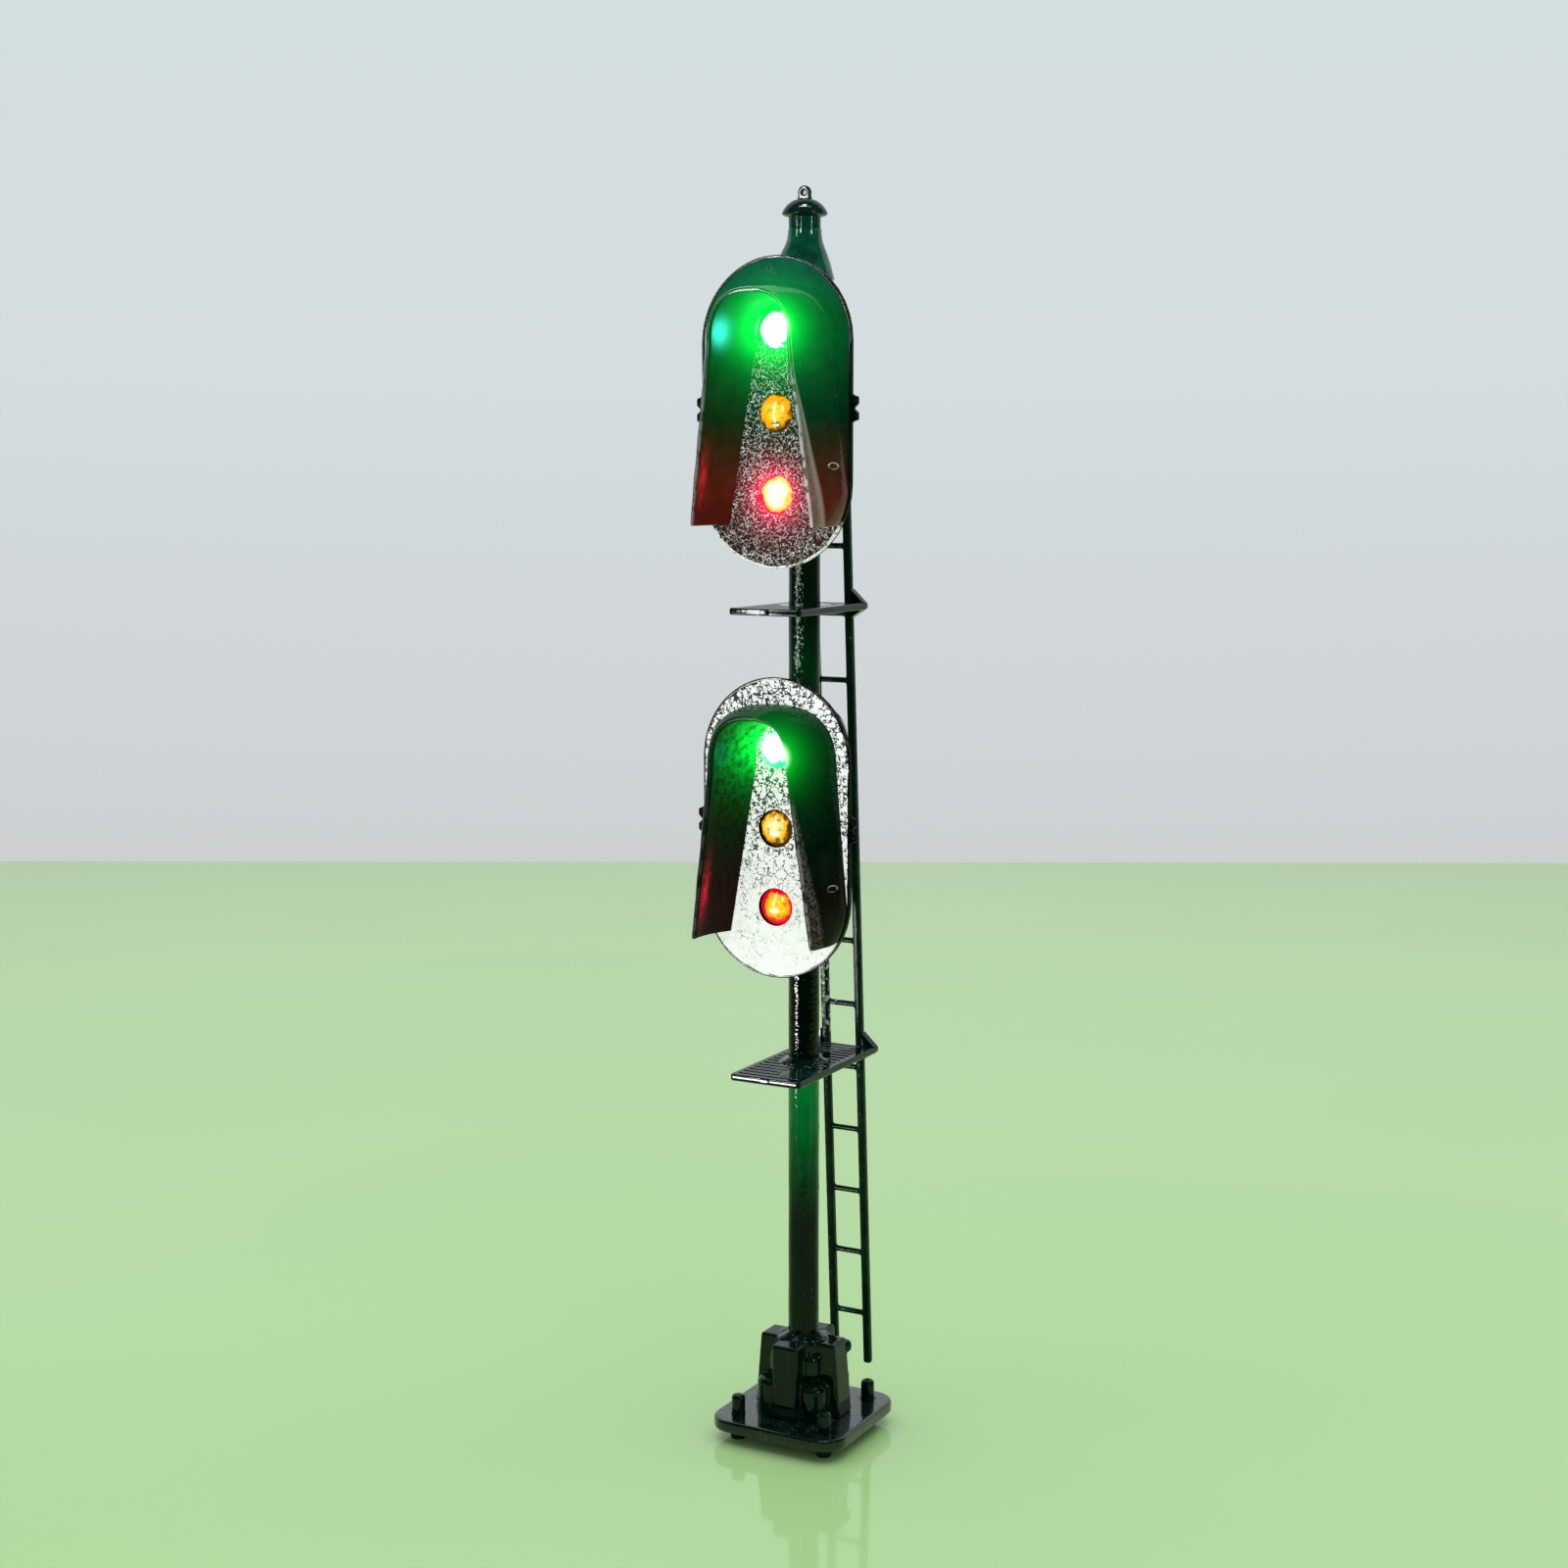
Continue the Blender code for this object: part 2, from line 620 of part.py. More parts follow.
def rear_case(name, mat, parent, bell):
    """The shell behind the target, in front of the mast's axis; the upper one carries the bell."""
    depths = [CASE_SPLIT - FIT / 2, -2.2, CASE_SHAPE[-1][0]]
    case = case_loft(name, depths)
    through = [1.0, CASE_SPLIT, -2.2, CASE_SHAPE[-1][0] - 1.0]
    cut(case, case_loft("cavity", through, CASE_WALL, CASE_END_WALL))
    if bell:
        shape = [(BELL_FOOT + FIT, 2.45, 0.3), (10.75, 2.3, 0.28), (11.5, 2.08, 0.2),
                 (12.1, 1.83, 0.14), (12.7, 1.6, 0.08), (13.3, 1.46, 0.03), (BELL_TOP, 1.38, 0.0)]
        bell_body = loft("bell", [circle(radius, z, 32, 0.0, -shift) for z, radius, shift in shape])
        foot = box("foot", -2.1, 2.1, -2.4, -FIT / 2, BELL_FOOT - 0.9, BELL_FOOT + 0.3)
        join(case, foot)
        join(case, bell_body)
    cut(case, mast_bore_tool())
    finish(case, mat, parent)


def rear_cover(name, mat, parent):
    """The domed cover that closes the case and clamps the head on the mast."""
    depths = [depth for depth, _, _ in CASE_SHAPE if depth > CASE_SPLIT] + [CASE_SPLIT + FIT / 2]
    cover = case_loft(name, depths)
    cut(cover, case_loft("cavity", [1.7, 1.1, CASE_SPLIT, -1.0], CASE_WALL, CASE_END_WALL))
    cut(cover, mast_bore_tool())
    finish(cover, mat, parent)


def head(prefix, height, mats, bell):
    """One signal head, built about its own centre and carried by an empty on the swivel's axis."""
    axis = bpy.data.objects.new(f"{prefix}_swivel_axis", None)
    axis.empty_display_size = 10 * MM
    axis.location.z = height * MM
    bpy.context.scene.collection.objects.link(axis)
    target_plate(f"{prefix}_target", mats["target"], axis)
    hood(f"{prefix}_hood", mats["gloss"], axis)
    rear_case(f"{prefix}_rear_case", mats["gloss"], axis, bell)
    rear_cover(f"{prefix}_rear_cover", mats["gloss"], axis)
    lamp_board(f"{prefix}_lamp_board", mats["board"], axis)
    for colour, (offset, _) in LAMPS.items():
        lamp(f"{prefix}_lamp_{colour}", offset, mats[colour], axis)


def build():
    clear_scene()
    mats = {
        "gloss": material("gloss_green", BOTTLE_GREEN, 0.16),
        "paint": material("painted_mast", NEAR_BLACK, 0.18),
        "casting": material("painted_casting", NEAR_BLACK, 0.22),
        "target": material("sparkle_target", (0.32, 0.34, 0.34), 0.38, 0.6),
        "board": material("lamp_board", (0.05, 0.16, 0.07), 0.5),
        "leads": material("lead_insulation", (0.02, 0.02, 0.02), 0.5),
    }
    for colour, (_, rgb) in LAMPS.items():
        mats[colour] = material(f"lamp_{colour}", rgb, 0.1, glow=2.0)
    base_plate(mats["casting"])
    anchor_pins(mats["casting"])
    mast_pedestal(mats["casting"])
    mast_tube(mats["paint"])
    lead_bundle(mats["leads"])
    finial_cap(mats["gloss"])
    platform("upper_platform", UPPER_PLATFORM_TOP, mats["gloss"])
    platform("lower_platform", LOWER_PLATFORM_TOP, mats["gloss"])
    ladder(mats["gloss"])
    head("upper", UPPER_HEAD, mats, bell=True)
    head("lower", LOWER_HEAD, mats, bell=False)


build()
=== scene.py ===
"""Looks of a model signal mast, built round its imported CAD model.

Lengths inside the mesh builders and materials are millimetres; objects are in metres. The heads
face -Y.
"""
import json
import math

import bpy
from mathutils import Matrix, Vector, noise

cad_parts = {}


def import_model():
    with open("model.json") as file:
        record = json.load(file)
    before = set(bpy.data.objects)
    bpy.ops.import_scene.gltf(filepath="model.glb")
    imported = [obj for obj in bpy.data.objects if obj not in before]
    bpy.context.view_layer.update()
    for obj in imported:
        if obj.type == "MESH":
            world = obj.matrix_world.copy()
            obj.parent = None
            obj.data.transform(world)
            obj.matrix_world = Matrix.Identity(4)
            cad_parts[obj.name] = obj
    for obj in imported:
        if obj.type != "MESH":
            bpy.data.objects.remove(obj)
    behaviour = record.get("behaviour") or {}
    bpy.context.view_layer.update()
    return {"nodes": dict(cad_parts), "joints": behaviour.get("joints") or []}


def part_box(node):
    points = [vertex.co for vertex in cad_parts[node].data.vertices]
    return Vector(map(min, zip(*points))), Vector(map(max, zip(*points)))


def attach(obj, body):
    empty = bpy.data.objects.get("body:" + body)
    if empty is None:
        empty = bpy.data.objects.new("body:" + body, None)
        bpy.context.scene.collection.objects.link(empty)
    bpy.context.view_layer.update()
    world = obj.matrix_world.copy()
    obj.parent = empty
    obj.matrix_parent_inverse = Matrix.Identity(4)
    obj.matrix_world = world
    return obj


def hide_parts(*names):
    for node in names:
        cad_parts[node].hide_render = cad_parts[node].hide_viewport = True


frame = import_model()

MM = 0.001
NODES = frame["nodes"]
HEADS = ("upper", "lower")
LAMP_COLOURS = ("green", "amber", "red")
PIN_CORNERS = ("front_left", "front_right", "rear_left", "rear_right")
JOINTS = {joint["name"]: joint for joint in frame["joints"]}
HEAD_HEIGHT = {head: JOINTS[f"{head}_head_swivel"]["pos_m"][2] / MM for head in HEADS}


def box_mm(node):
    """Lowest and highest corner of a CAD node, in millimetres."""
    low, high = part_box(node)
    return low / MM, high / MM


TARGET_LOW, TARGET_HIGH = box_mm("upper_target")
TARGET_FACE = TARGET_LOW.y
TARGET_HALF_HEIGHT = (TARGET_HIGH.z - TARGET_LOW.z) / 2
TARGET_HALF_WIDTH = 6.45  # without the ears

LAMP_LOW, LAMP_HIGH = box_mm("upper_lamp_green")
LAMP_TIP, LAMP_BACK = LAMP_LOW.y, LAMP_HIGH.y
LAMP_RADIUS = 1.45
LAMP_PLACE = {}
for lamp_colour in LAMP_COLOURS:
    lamp_low, lamp_high = box_mm(f"upper_lamp_{lamp_colour}")
    LAMP_PLACE[lamp_colour] = (lamp_low.z + lamp_high.z) / 2 - HEAD_HEIGHT["upper"]

MAST_RADIUS = box_mm("mast_tube")[1].x
MAST_BORE = 0.8
PLATFORM_FOOT = {level: box_mm(f"{level}_platform")[0].z for level in HEADS}
LUG_HEIGHT = 1.1  # the platform's corner lugs rise this far above its tread
LOWER_LUG_TOP = box_mm("lower_platform")[1].z
LOWER_TREAD = LOWER_LUG_TOP - LUG_HEIGHT

HOOD_LOW, HOOD_HIGH = box_mm("upper_hood")
HOOD_FOOT = HOOD_LOW.z - HEAD_HEIGHT["upper"]
HOOD_BACK = HOOD_HIGH.y
HOOD_DEPTH_CROWN = HOOD_HIGH.y - HOOD_LOW.y
HOOD_DEPTH_FOOT = HOOD_DEPTH_CROWN - 0.41
HOOD_SPRING = 4.7  # the walls end and the arch starts here, above the middle of the head
HOOD_LIP = 0.32
HOOD_SIDE_STEPS = 26
HOOD_ARCH_STEPS = 56
HOOD_DEPTH_STEPS = 14
# Half-width of the hood where its arch starts, and how much it widens per millimetre below.
HOOD_OUTER_AT_TARGET = (5.35, 0.09)
HOOD_INNER_AT_TARGET = (1.72, 0.173)
HOOD_OUTER_AT_LIP = (3.55, 0.133)


# ---------------------------------------------------------------- meshes

def link_object(name, mesh):
    obj = bpy.data.objects.new(name, mesh)
    bpy.context.scene.collection.objects.link(obj)
    return obj


def new_object(name, points, faces):
    mesh = bpy.data.meshes.new(name)
    mesh.from_pydata([Vector(p) * MM for p in points], [], faces)
    mesh.validate()
    return link_object(name, mesh)


def loft(name, sections, closed=False):
    """A skin through rings of equal length, capped at both ends or joined last to first."""
    count = len(sections[0])
    points = [p for ring in sections for p in ring]
    faces = []
    rows = len(sections) if closed else len(sections) - 1
    for row in range(rows):
        low, high = row * count, ((row + 1) % len(sections)) * count
        for i in range(count):
            j = (i + 1) % count
            faces.append((low + i, low + j, high + j, high + i))
    if not closed:
        faces.append(tuple(reversed(range(count))))
        faces.append(tuple(range(len(points) - count, len(points))))
    return new_object(name, points, faces)


def circle(radius, steps):
    return [
        (radius * math.cos(2 * math.pi * i / steps), radius * math.sin(2 * math.pi * i / steps))
        for i in range(steps)
    ]


def lump(x, y, z, size=1.0):
    """A smooth random height that depends only on the place."""
    return noise.noise(Vector((x, y, z))) * size


def shade(obj, angle):
    obj.data.shade_smooth()
    obj.data.set_sharp_from_angle(angle=math.radians(angle))
    return obj


def place(obj, body, slot, mat, *replaced):
    """Ride the piece on its body, give it its finish, and hide what it stands for; its slot is not
    used.
    """
    obj.data.materials.clear()
    obj.data.materials.append(mat)
    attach(obj, body)
    if replaced:
        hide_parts(*replaced)
    return obj


def repaint(node, mat):
    """Show a CAD node itself, in a finish of its own."""
    obj = NODES[node]
    obj.data.materials.clear()
    obj.data.materials.append(mat)


def scale_matrix(factor):
    return Matrix.Diagonal((factor, factor, factor, 1.0))


def welded_copy(node):
    """A copy of a CAD node in millimetres, with its split vertices joined."""
    mesh = NODES[node].data.copy()
    mesh.transform(scale_matrix(1 / MM))
    obj = link_object(f"{node}_skin", mesh)
    obj.modifiers.new("weld", "WELD").merge_threshold = 0.0005
    return obj


def bake(obj):
    """Apply the modifiers to a millimetre mesh and turn it into metres."""
    bpy.context.view_layer.update()
    evaluated = obj.evaluated_get(bpy.context.evaluated_depsgraph_get())
    mesh = bpy.data.meshes.new_from_object(evaluated)
    obj.modifiers.clear()
    obj.data = mesh
    obj.data.transform(scale_matrix(MM))


def moulded(node, slot, mat, voxel, body="stand", swell=0.0, keep=1.0):
    """A copy of a CAD node with its corners and joins filled, as in a painted moulding.

    The skin swells, is remeshed and shrinks back, which leaves fillets in its inner corners.
    """
    obj = welded_copy(node)

    def remesh():
        step = obj.modifiers.new("remesh", "REMESH")
        step.mode = "VOXEL"
        step.voxel_size = voxel

    def smooth(times):
        step = obj.modifiers.new("smooth", "SMOOTH")
        step.factor = 0.5
        step.iterations = times

    def grow(amount):
        step = obj.modifiers.new("grow", "DISPLACE")
        step.strength = amount
        step.mid_level = 0.0

    remesh()
    smooth(2)
    if swell:
        grow(swell)
        remesh()
        smooth(3)
        grow(-swell)
    smooth(2)
    shrinkage = 0.3 * voxel  # about what the smoothing takes off
    grow(shrinkage)
    if keep < 1.0:
        obj.modifiers.new("thin", "DECIMATE").ratio = keep
    bake(obj)
    obj.data.shade_smooth()
    return place(obj, body, slot, mat, node)


def crisp(node, slot, mat):
    """A copy of a CAD node that keeps its flat faces, with a fine round on each edge."""
    obj = welded_copy(node)
    flat = obj.modifiers.new("flat", "DECIMATE")
    flat.decimate_type = "DISSOLVE"
    flat.angle_limit = math.radians(2.0)
    bevel = obj.modifiers.new("bevel", "BEVEL")
    bevel.width = 0.045
    bevel.segments = 2
    bevel.limit_method = "ANGLE"
    bevel.angle_limit = math.radians(35.0)
    bevel.use_clamp_overlap = False
    obj.data.shade_smooth()
    obj.modifiers.new("even", "WEIGHTED_NORMAL").keep_sharp = False
    bake(obj)
    return place(obj, "stand", slot, mat, node)


# ---------------------------------------------------------------- materials

class Surface:
    """A Principled material with short calls for the nodes that drive it."""

    def __init__(self, name, roughness=0.3, specular=0.5, coat=0.0, coat_roughness=0.05,
                 coat_ior=1.5):
        self.mat = bpy.data.materials.new(name)
        self.mat.use_nodes = True
        self.tree = self.mat.node_tree
        self.bsdf = self.tree.nodes["Principled BSDF"]
        for socket, value in (("Roughness", roughness), ("Specular IOR Level", specular),
                              ("Coat Weight", coat), ("Coat Roughness", coat_roughness),
                              ("Coat IOR", coat_ior)):
            self.bsdf.inputs[socket].default_value = value
        self.coordinates = self.tree.nodes.new("ShaderNodeTexCoord").outputs
        self.normal = None
        self.paint = None

    def link(self, source, target):
        self.tree.links.new(source, target)

    def feed(self, source, socket):
        self.link(source, self.bsdf.inputs[socket])

    def millimetres(self, stretch=(1.0, 1.0, 1.0)):
        """Object coordinates in millimetres, each axis times its own stretch."""
        node = self.tree.nodes.new("ShaderNodeMapping")
        node.inputs["Scale"].default_value = [s / MM for s in stretch]
        self.link(self.coordinates["Object"], node.inputs["Vector"])
        return node.outputs["Vector"]

    def parts(self, vector):
        """X, Y and Z of a vector."""
        node = self.tree.nodes.new("ShaderNodeSeparateXYZ")
        self.link(vector, node.inputs["Vector"])
        return node.outputs["X"], node.outputs["Y"], node.outputs["Z"]

    def axes(self):
        """X, Y and Z of the surface point, in millimetres."""
        return self.parts(self.millimetres())

    def noise(self, per_mm, detail=3.0, roughness=0.55, stretch=(1.0, 1.0, 1.0)):
        node = self.tree.nodes.new("ShaderNodeTexNoise")
        node.inputs["Scale"].default_value = per_mm
        node.inputs["Detail"].default_value = detail
        node.inputs["Roughness"].default_value = roughness
        self.link(self.millimetres(stretch), node.inputs["Vector"])
        return node.outputs["Fac"]

    def ramp(self, source, *stops, smooth=False):
        """Colours by position: stops are (place, (r, g, b))."""
        node = self.tree.nodes.new("ShaderNodeValToRGB")
        node.color_ramp.interpolation = "EASE" if smooth else "LINEAR"
        elements = node.color_ramp.elements
        while len(elements) < len(stops):
            elements.new(0.5)
        for element, (position, colour) in zip(elements, stops):
            element.position = position
            element.color = (*colour, 1.0)
        self.link(source, node.inputs["Fac"])
        return node.outputs["Color"]

    def profile(self, source, *stops):
        """A number by position: stops are (place, number)."""
        return self.ramp(source, *((position, (value,) * 3) for position, value in stops))

    def span(self, source, low, high, to_low=0.0, to_high=1.0):
        """The source's range from low to high, stretched to another range and clamped to it."""
        node = self.tree.nodes.new("ShaderNodeMapRange")
        for socket, value in (("From Min", low), ("From Max", high), ("To Min", to_low),
                              ("To Max", to_high)):
            node.inputs[socket].default_value = value
        self.link(source, node.inputs["Value"])
        return node.outputs["Result"]

    def math(self, operation, *values):
        node = self.tree.nodes.new("ShaderNodeMath")
        node.operation = operation
        for socket, value in zip(node.inputs, values):
            if isinstance(value, (int, float)):
                socket.default_value = value
            else:
                self.link(value, socket)
        return node.outputs["Value"]

    def times(self, first, *others):
        for other in others:
            first = self.math("MULTIPLY", first, other)
        return first

    def plus(self, first, *others):
        for other in others:
            first = self.math("ADD", first, other)
        return first

    def minus(self, first, second):
        return self.math("SUBTRACT", first, second)

    def fade(self, distance, reach):
        """1 at no distance, falling to 1/e at the reach."""
        return self.math("EXPONENT", self.times(distance, -1.0 / reach))

    def distance(self, x, y, z):
        """Distance in millimetres from a point; an axis given as None is left out."""
        squares = []
        for source, value in zip(self.axes(), (x, y, z)):
            if value is not None:
                off = self.minus(source, value)
                squares.append(self.times(off, off))
        return self.math("SQRT", self.plus(*squares))

    def mix(self, factor, first, second):
        node = self.tree.nodes.new("ShaderNodeMix")
        node.data_type = "RGBA"
        colours = [s for s in node.inputs if s.type == "RGBA"]
        self.link(factor, node.inputs[0])
        for socket, value in zip(colours, (first, second)):
            if isinstance(value, tuple):
                socket.default_value = (*value, 1.0)
            else:
                self.link(value, socket)
        return [s for s in node.outputs if s.type == "RGBA"][0]

    def vector(self, operation, *values, output="Vector"):
        node = self.tree.nodes.new("ShaderNodeVectorMath")
        node.operation = operation
        for socket, value in zip([s for s in node.inputs if s.type == "VECTOR"], values):
            if isinstance(value, tuple):
                socket.default_value = value
            else:
                self.link(value, socket)
        return node.outputs[output]

    def scaled(self, colour, amount):
        """A colour times a number; either may be a node output or a constant."""
        scaled = self.vector("SCALE", colour)
        scale = scaled.node.inputs["Scale"]
        if isinstance(amount, (int, float)):
            scale.default_value = amount
        else:
            self.link(amount, scale)
        return scaled

    def together(self, *lights):
        total = lights[0]
        for light in lights[1:]:
            total = self.vector("ADD", total, light)
        return total

    def emit(self, *lights):
        self.feed(self.together(*lights), "Emission Color")
        self.bsdf.inputs["Emission Strength"].default_value = 1.0

    def bump(self, height, depth_mm):
        node = self.tree.nodes.new("ShaderNodeBump")
        node.inputs["Distance"].default_value = depth_mm * MM
        self.link(height, node.inputs["Height"])
        if self.normal is not None:
            self.link(self.normal, node.inputs["Normal"])
        self.normal = node.outputs["Normal"]
        self.feed(self.normal, "Normal")


def srgb(red, green, blue):
    """Linear colour from 8-bit display values."""
    values = []
    for value in (red / 255, green / 255, blue / 255):
        values.append(value / 12.92 if value <= 0.04045 else ((value + 0.055) / 1.055) ** 2.4)
    return tuple(values)


WHITE = (1.0, 1.0, 1.0)
DUST = (0.34, 0.38, 0.35)
GREEN_GLOW = (0.002, 1.0, 0.06)
CYAN_GLOW = (0.05, 1.0, 0.75)
TEAL_GLOW = (0.01, 1.0, 0.5)
AMBER_GLOW = (1.0, 0.30, 0.01)
RED_GLOW = (1.0, 0.02, 0.05)
BOTTLE_DARK = srgb(4, 14, 9)
BOTTLE_GREEN = srgb(9, 30, 19)


def gloss_paint(name, dark, light, roughness, peel, grit=0.0, dust=0.35, specular=0.0, coat=1.0,
                coat_ior=1.5, coat_roughness=0.05):
    """Thick glossy paint or moulding: slow colour drift, orange peel, a little dust and grit."""
    surface = Surface(name, specular=specular, coat=coat, coat_roughness=coat_roughness,
                      coat_ior=coat_ior)
    drift = surface.ramp(surface.noise(0.55, 4.0), (0.35, dark), (0.7, light))
    specks = surface.span(surface.noise(6.0, 2.0, 0.4), 0.74, 0.77)
    surface.paint = surface.mix(surface.times(specks, dust), drift, DUST)
    surface.feed(surface.paint, "Base Color")
    surface.feed(surface.span(surface.noise(1.3, 5.0, 0.6), 0.3, 0.7, *roughness), "Roughness")
    surface.bump(surface.noise(1.1, 3.0, 0.5), peel)
    surface.bump(surface.noise(4.5, 2.0, 0.5), peel * 0.2)
    if grit:
        surface.bump(surface.noise(9.0, 2.0, 0.6), grit)
    surface.feed(surface.normal, "Coat Normal")
    return surface


# ---------------------------------------------------------------- the lamps' light

def lens_height(head, colour):
    return HEAD_HEIGHT[head] + LAMP_PLACE[colour]


def lamp_light(surface, head, colour, forward, glow, gain, power):
    """Light that reaches a surface from a lamp: by how it faces the lamp and how far it is."""
    point = (0.0, LAMP_TIP - forward, lens_height(head, colour))
    way = surface.vector("SUBTRACT", point, surface.millimetres())
    length = surface.vector("LENGTH", way, output="Value")
    facing = surface.vector("DOT_PRODUCT", surface.vector("NORMALIZE", way),
                            surface.coordinates["Normal"], output="Value")
    facing = surface.math("MAXIMUM", facing, 0.0)
    fall = surface.math("POWER", surface.plus(length, 0.4), power)
    return surface.scaled(glow, surface.math("DIVIDE", surface.times(facing, gain), fall))


def halo(surface, head, colour, glow, gain, reach):
    """Glow on the target round a lens, fading with distance in the plane of the target."""
    distance = surface.distance(0.0, None, lens_height(head, colour))
    beyond = surface.math("MAXIMUM", surface.minus(distance, 1.3), 0.0)
    return surface.scaled(glow, surface.times(surface.fade(beyond, reach), gain))


# How each head's lamps show through its moulding: strength and reach beside the lens, then the
# strength of the faint light that spreads further.
SEEN_THROUGH = {
    "upper": {"green": (1.5, 0.95, 0.25), "red": (0.30, 0.7, 0.058)},
    "lower": {"green": (0.8, 0.9, 0.03), "red": (0.05, 0.5, 0.004)},
}
# The glow round a lens is a disc turned this far from the head's front, towards +X.
GLOW_TURN = math.radians(28.0)


def lens_distance(surface, head, colour):
    """Distance from the level line through a lens that the glow's disc is square to."""
    x, y, z = surface.axes()
    across, along = math.cos(GLOW_TURN), math.sin(GLOW_TURN)
    u = surface.plus(surface.times(x, across), surface.times(y, along))
    u = surface.minus(u, (LAMP_TIP - 0.1) * along)
    w = surface.minus(z, lens_height(head, colour))
    return surface.math("SQRT", surface.plus(surface.times(u, u), surface.times(w, w)))


def bloom(surface, head, colour):
    """Lamp light spread in the translucent moulding, bright beside the lens, faint further off."""
    near, reach, far = SEEN_THROUGH[head][colour]
    distance = lens_distance(surface, head, colour)
    fall = surface.fade(surface.minus(distance, 1.0), reach)
    level = surface.minus(surface.axes()[2], HEAD_HEIGHT[head])
    blotch = surface.span(surface.noise(0.9, 4.0), 0.3, 0.7, 0.7, 1.25)
    if colour == "green":
        core = (0.0, 1.0, 0.035)
        edge = surface.mix(surface.span(level, 7.5, 11.0), (0.004, 1.0, 0.22), (0.02, 1.0, 0.60))
        spread = surface.times(surface.fade(distance, 3.1),
                               surface.span(level, 7.5, 11.0, 1.0, 1.35))
    else:
        core, edge = (1.0, 0.012, 0.06), (1.0, 0.05, 0.03)
        spread = surface.span(level, -0.5, -6.0)
    return surface.together(surface.scaled(core, surface.times(fall, near)),
                            surface.scaled(edge, surface.times(spread, blotch, far)))


def burn_through(surface, head):
    """The white heart of the green lamp, seen through the thin wall that crosses it."""
    heart = surface.span(lens_distance(surface, head, "green"), 0.75, 1.55, 1.0, 0.0)
    return surface.scaled((0.9, 0.8, 0.85), surface.times(heart, heart, 2.0))


# ---------------------------------------------------------------- finishes of the heads

def lip_band_reflection(surface, head):
    """A painted reflection: the pale band behind the lip of the right wall, wider towards its
    foot.

    Gives the band's mask, how far across it a point is, and a broken painted highlight on the lip.
    """
    x, y, z = surface.axes()
    below = surface.minus(HEAD_HEIGHT[head] + HOOD_SPRING, z)
    part = surface.math("MAXIMUM", surface.math("DIVIDE", below, HOOD_SPRING - HOOD_FOOT), 0.0)
    lip = surface.span(part, 0.0, 1.0, HOOD_BACK - HOOD_DEPTH_CROWN, HOOD_BACK - HOOD_DEPTH_FOOT)
    behind = surface.minus(y, lip)
    width = surface.times(surface.math("POWER", part, 1.3), 1.25)
    inside = surface.math("DIVIDE", behind, surface.plus(width, 0.05))
    started = surface.span(part, 0.08, 0.3)
    outward = surface.span(surface.parts(surface.coordinates["Normal"])[0], 0.15, 0.4)
    right = surface.math("GREATER_THAN", x, 0.0)
    mask = surface.times(surface.span(inside, 0.75, 1.05, 1.0, 0.0), started, outward, right)
    broken = surface.span(surface.noise(1.3, 3.0), 0.42, 0.5, 0.1, 1.0)
    # Painted highlight: a broken white line along the lip.
    line = surface.times(surface.span(behind, -0.02, 0.07, 1.0, 0.0), started, broken,
                         surface.span(x, -1.0, 1.0, 0.22, 1.0))
    return mask, inside, line


def hood_material(head):
    """Translucent moulding, lit from within round the lamps, with a painted reflection and
    highlight by its lip.
    """
    is_upper = head == "upper"
    surface = gloss_paint(f"{head}_hood_moulding", BOTTLE_DARK, BOTTLE_GREEN, (0.14, 0.30), 0.02,
                          coat=1.0 if is_upper else 0.4, coat_ior=1.38 if is_upper else 1.24)
    band, inside, line = lip_band_reflection(surface, head)
    # Painted reflection: pale greys in the band, brighter towards its rear on the upper head.
    grain = surface.span(surface.noise(4.5, 2.0), 0.42, 0.62)
    if is_upper:
        pale = surface.ramp(grain, (0.0, srgb(92, 86, 84)), (1.0, srgb(124, 116, 112)))
        pale = surface.mix(surface.span(inside, 0.35, 0.85), pale, srgb(168, 162, 158))
    else:
        pale = surface.ramp(grain, (0.0, srgb(34, 31, 30)), (1.0, srgb(96, 90, 86)))
    surface.feed(surface.mix(surface.times(band, 0.85), surface.paint, pale), "Base Color")
    # Lamp glows, and the lip's painted highlight as emitted white.
    surface.emit(bloom(surface, head, "green"), bloom(surface, head, "red"),
                 burn_through(surface, head),
                 surface.scaled(WHITE, surface.times(line, 0.55 if is_upper else 0.16)))
    return surface.mat


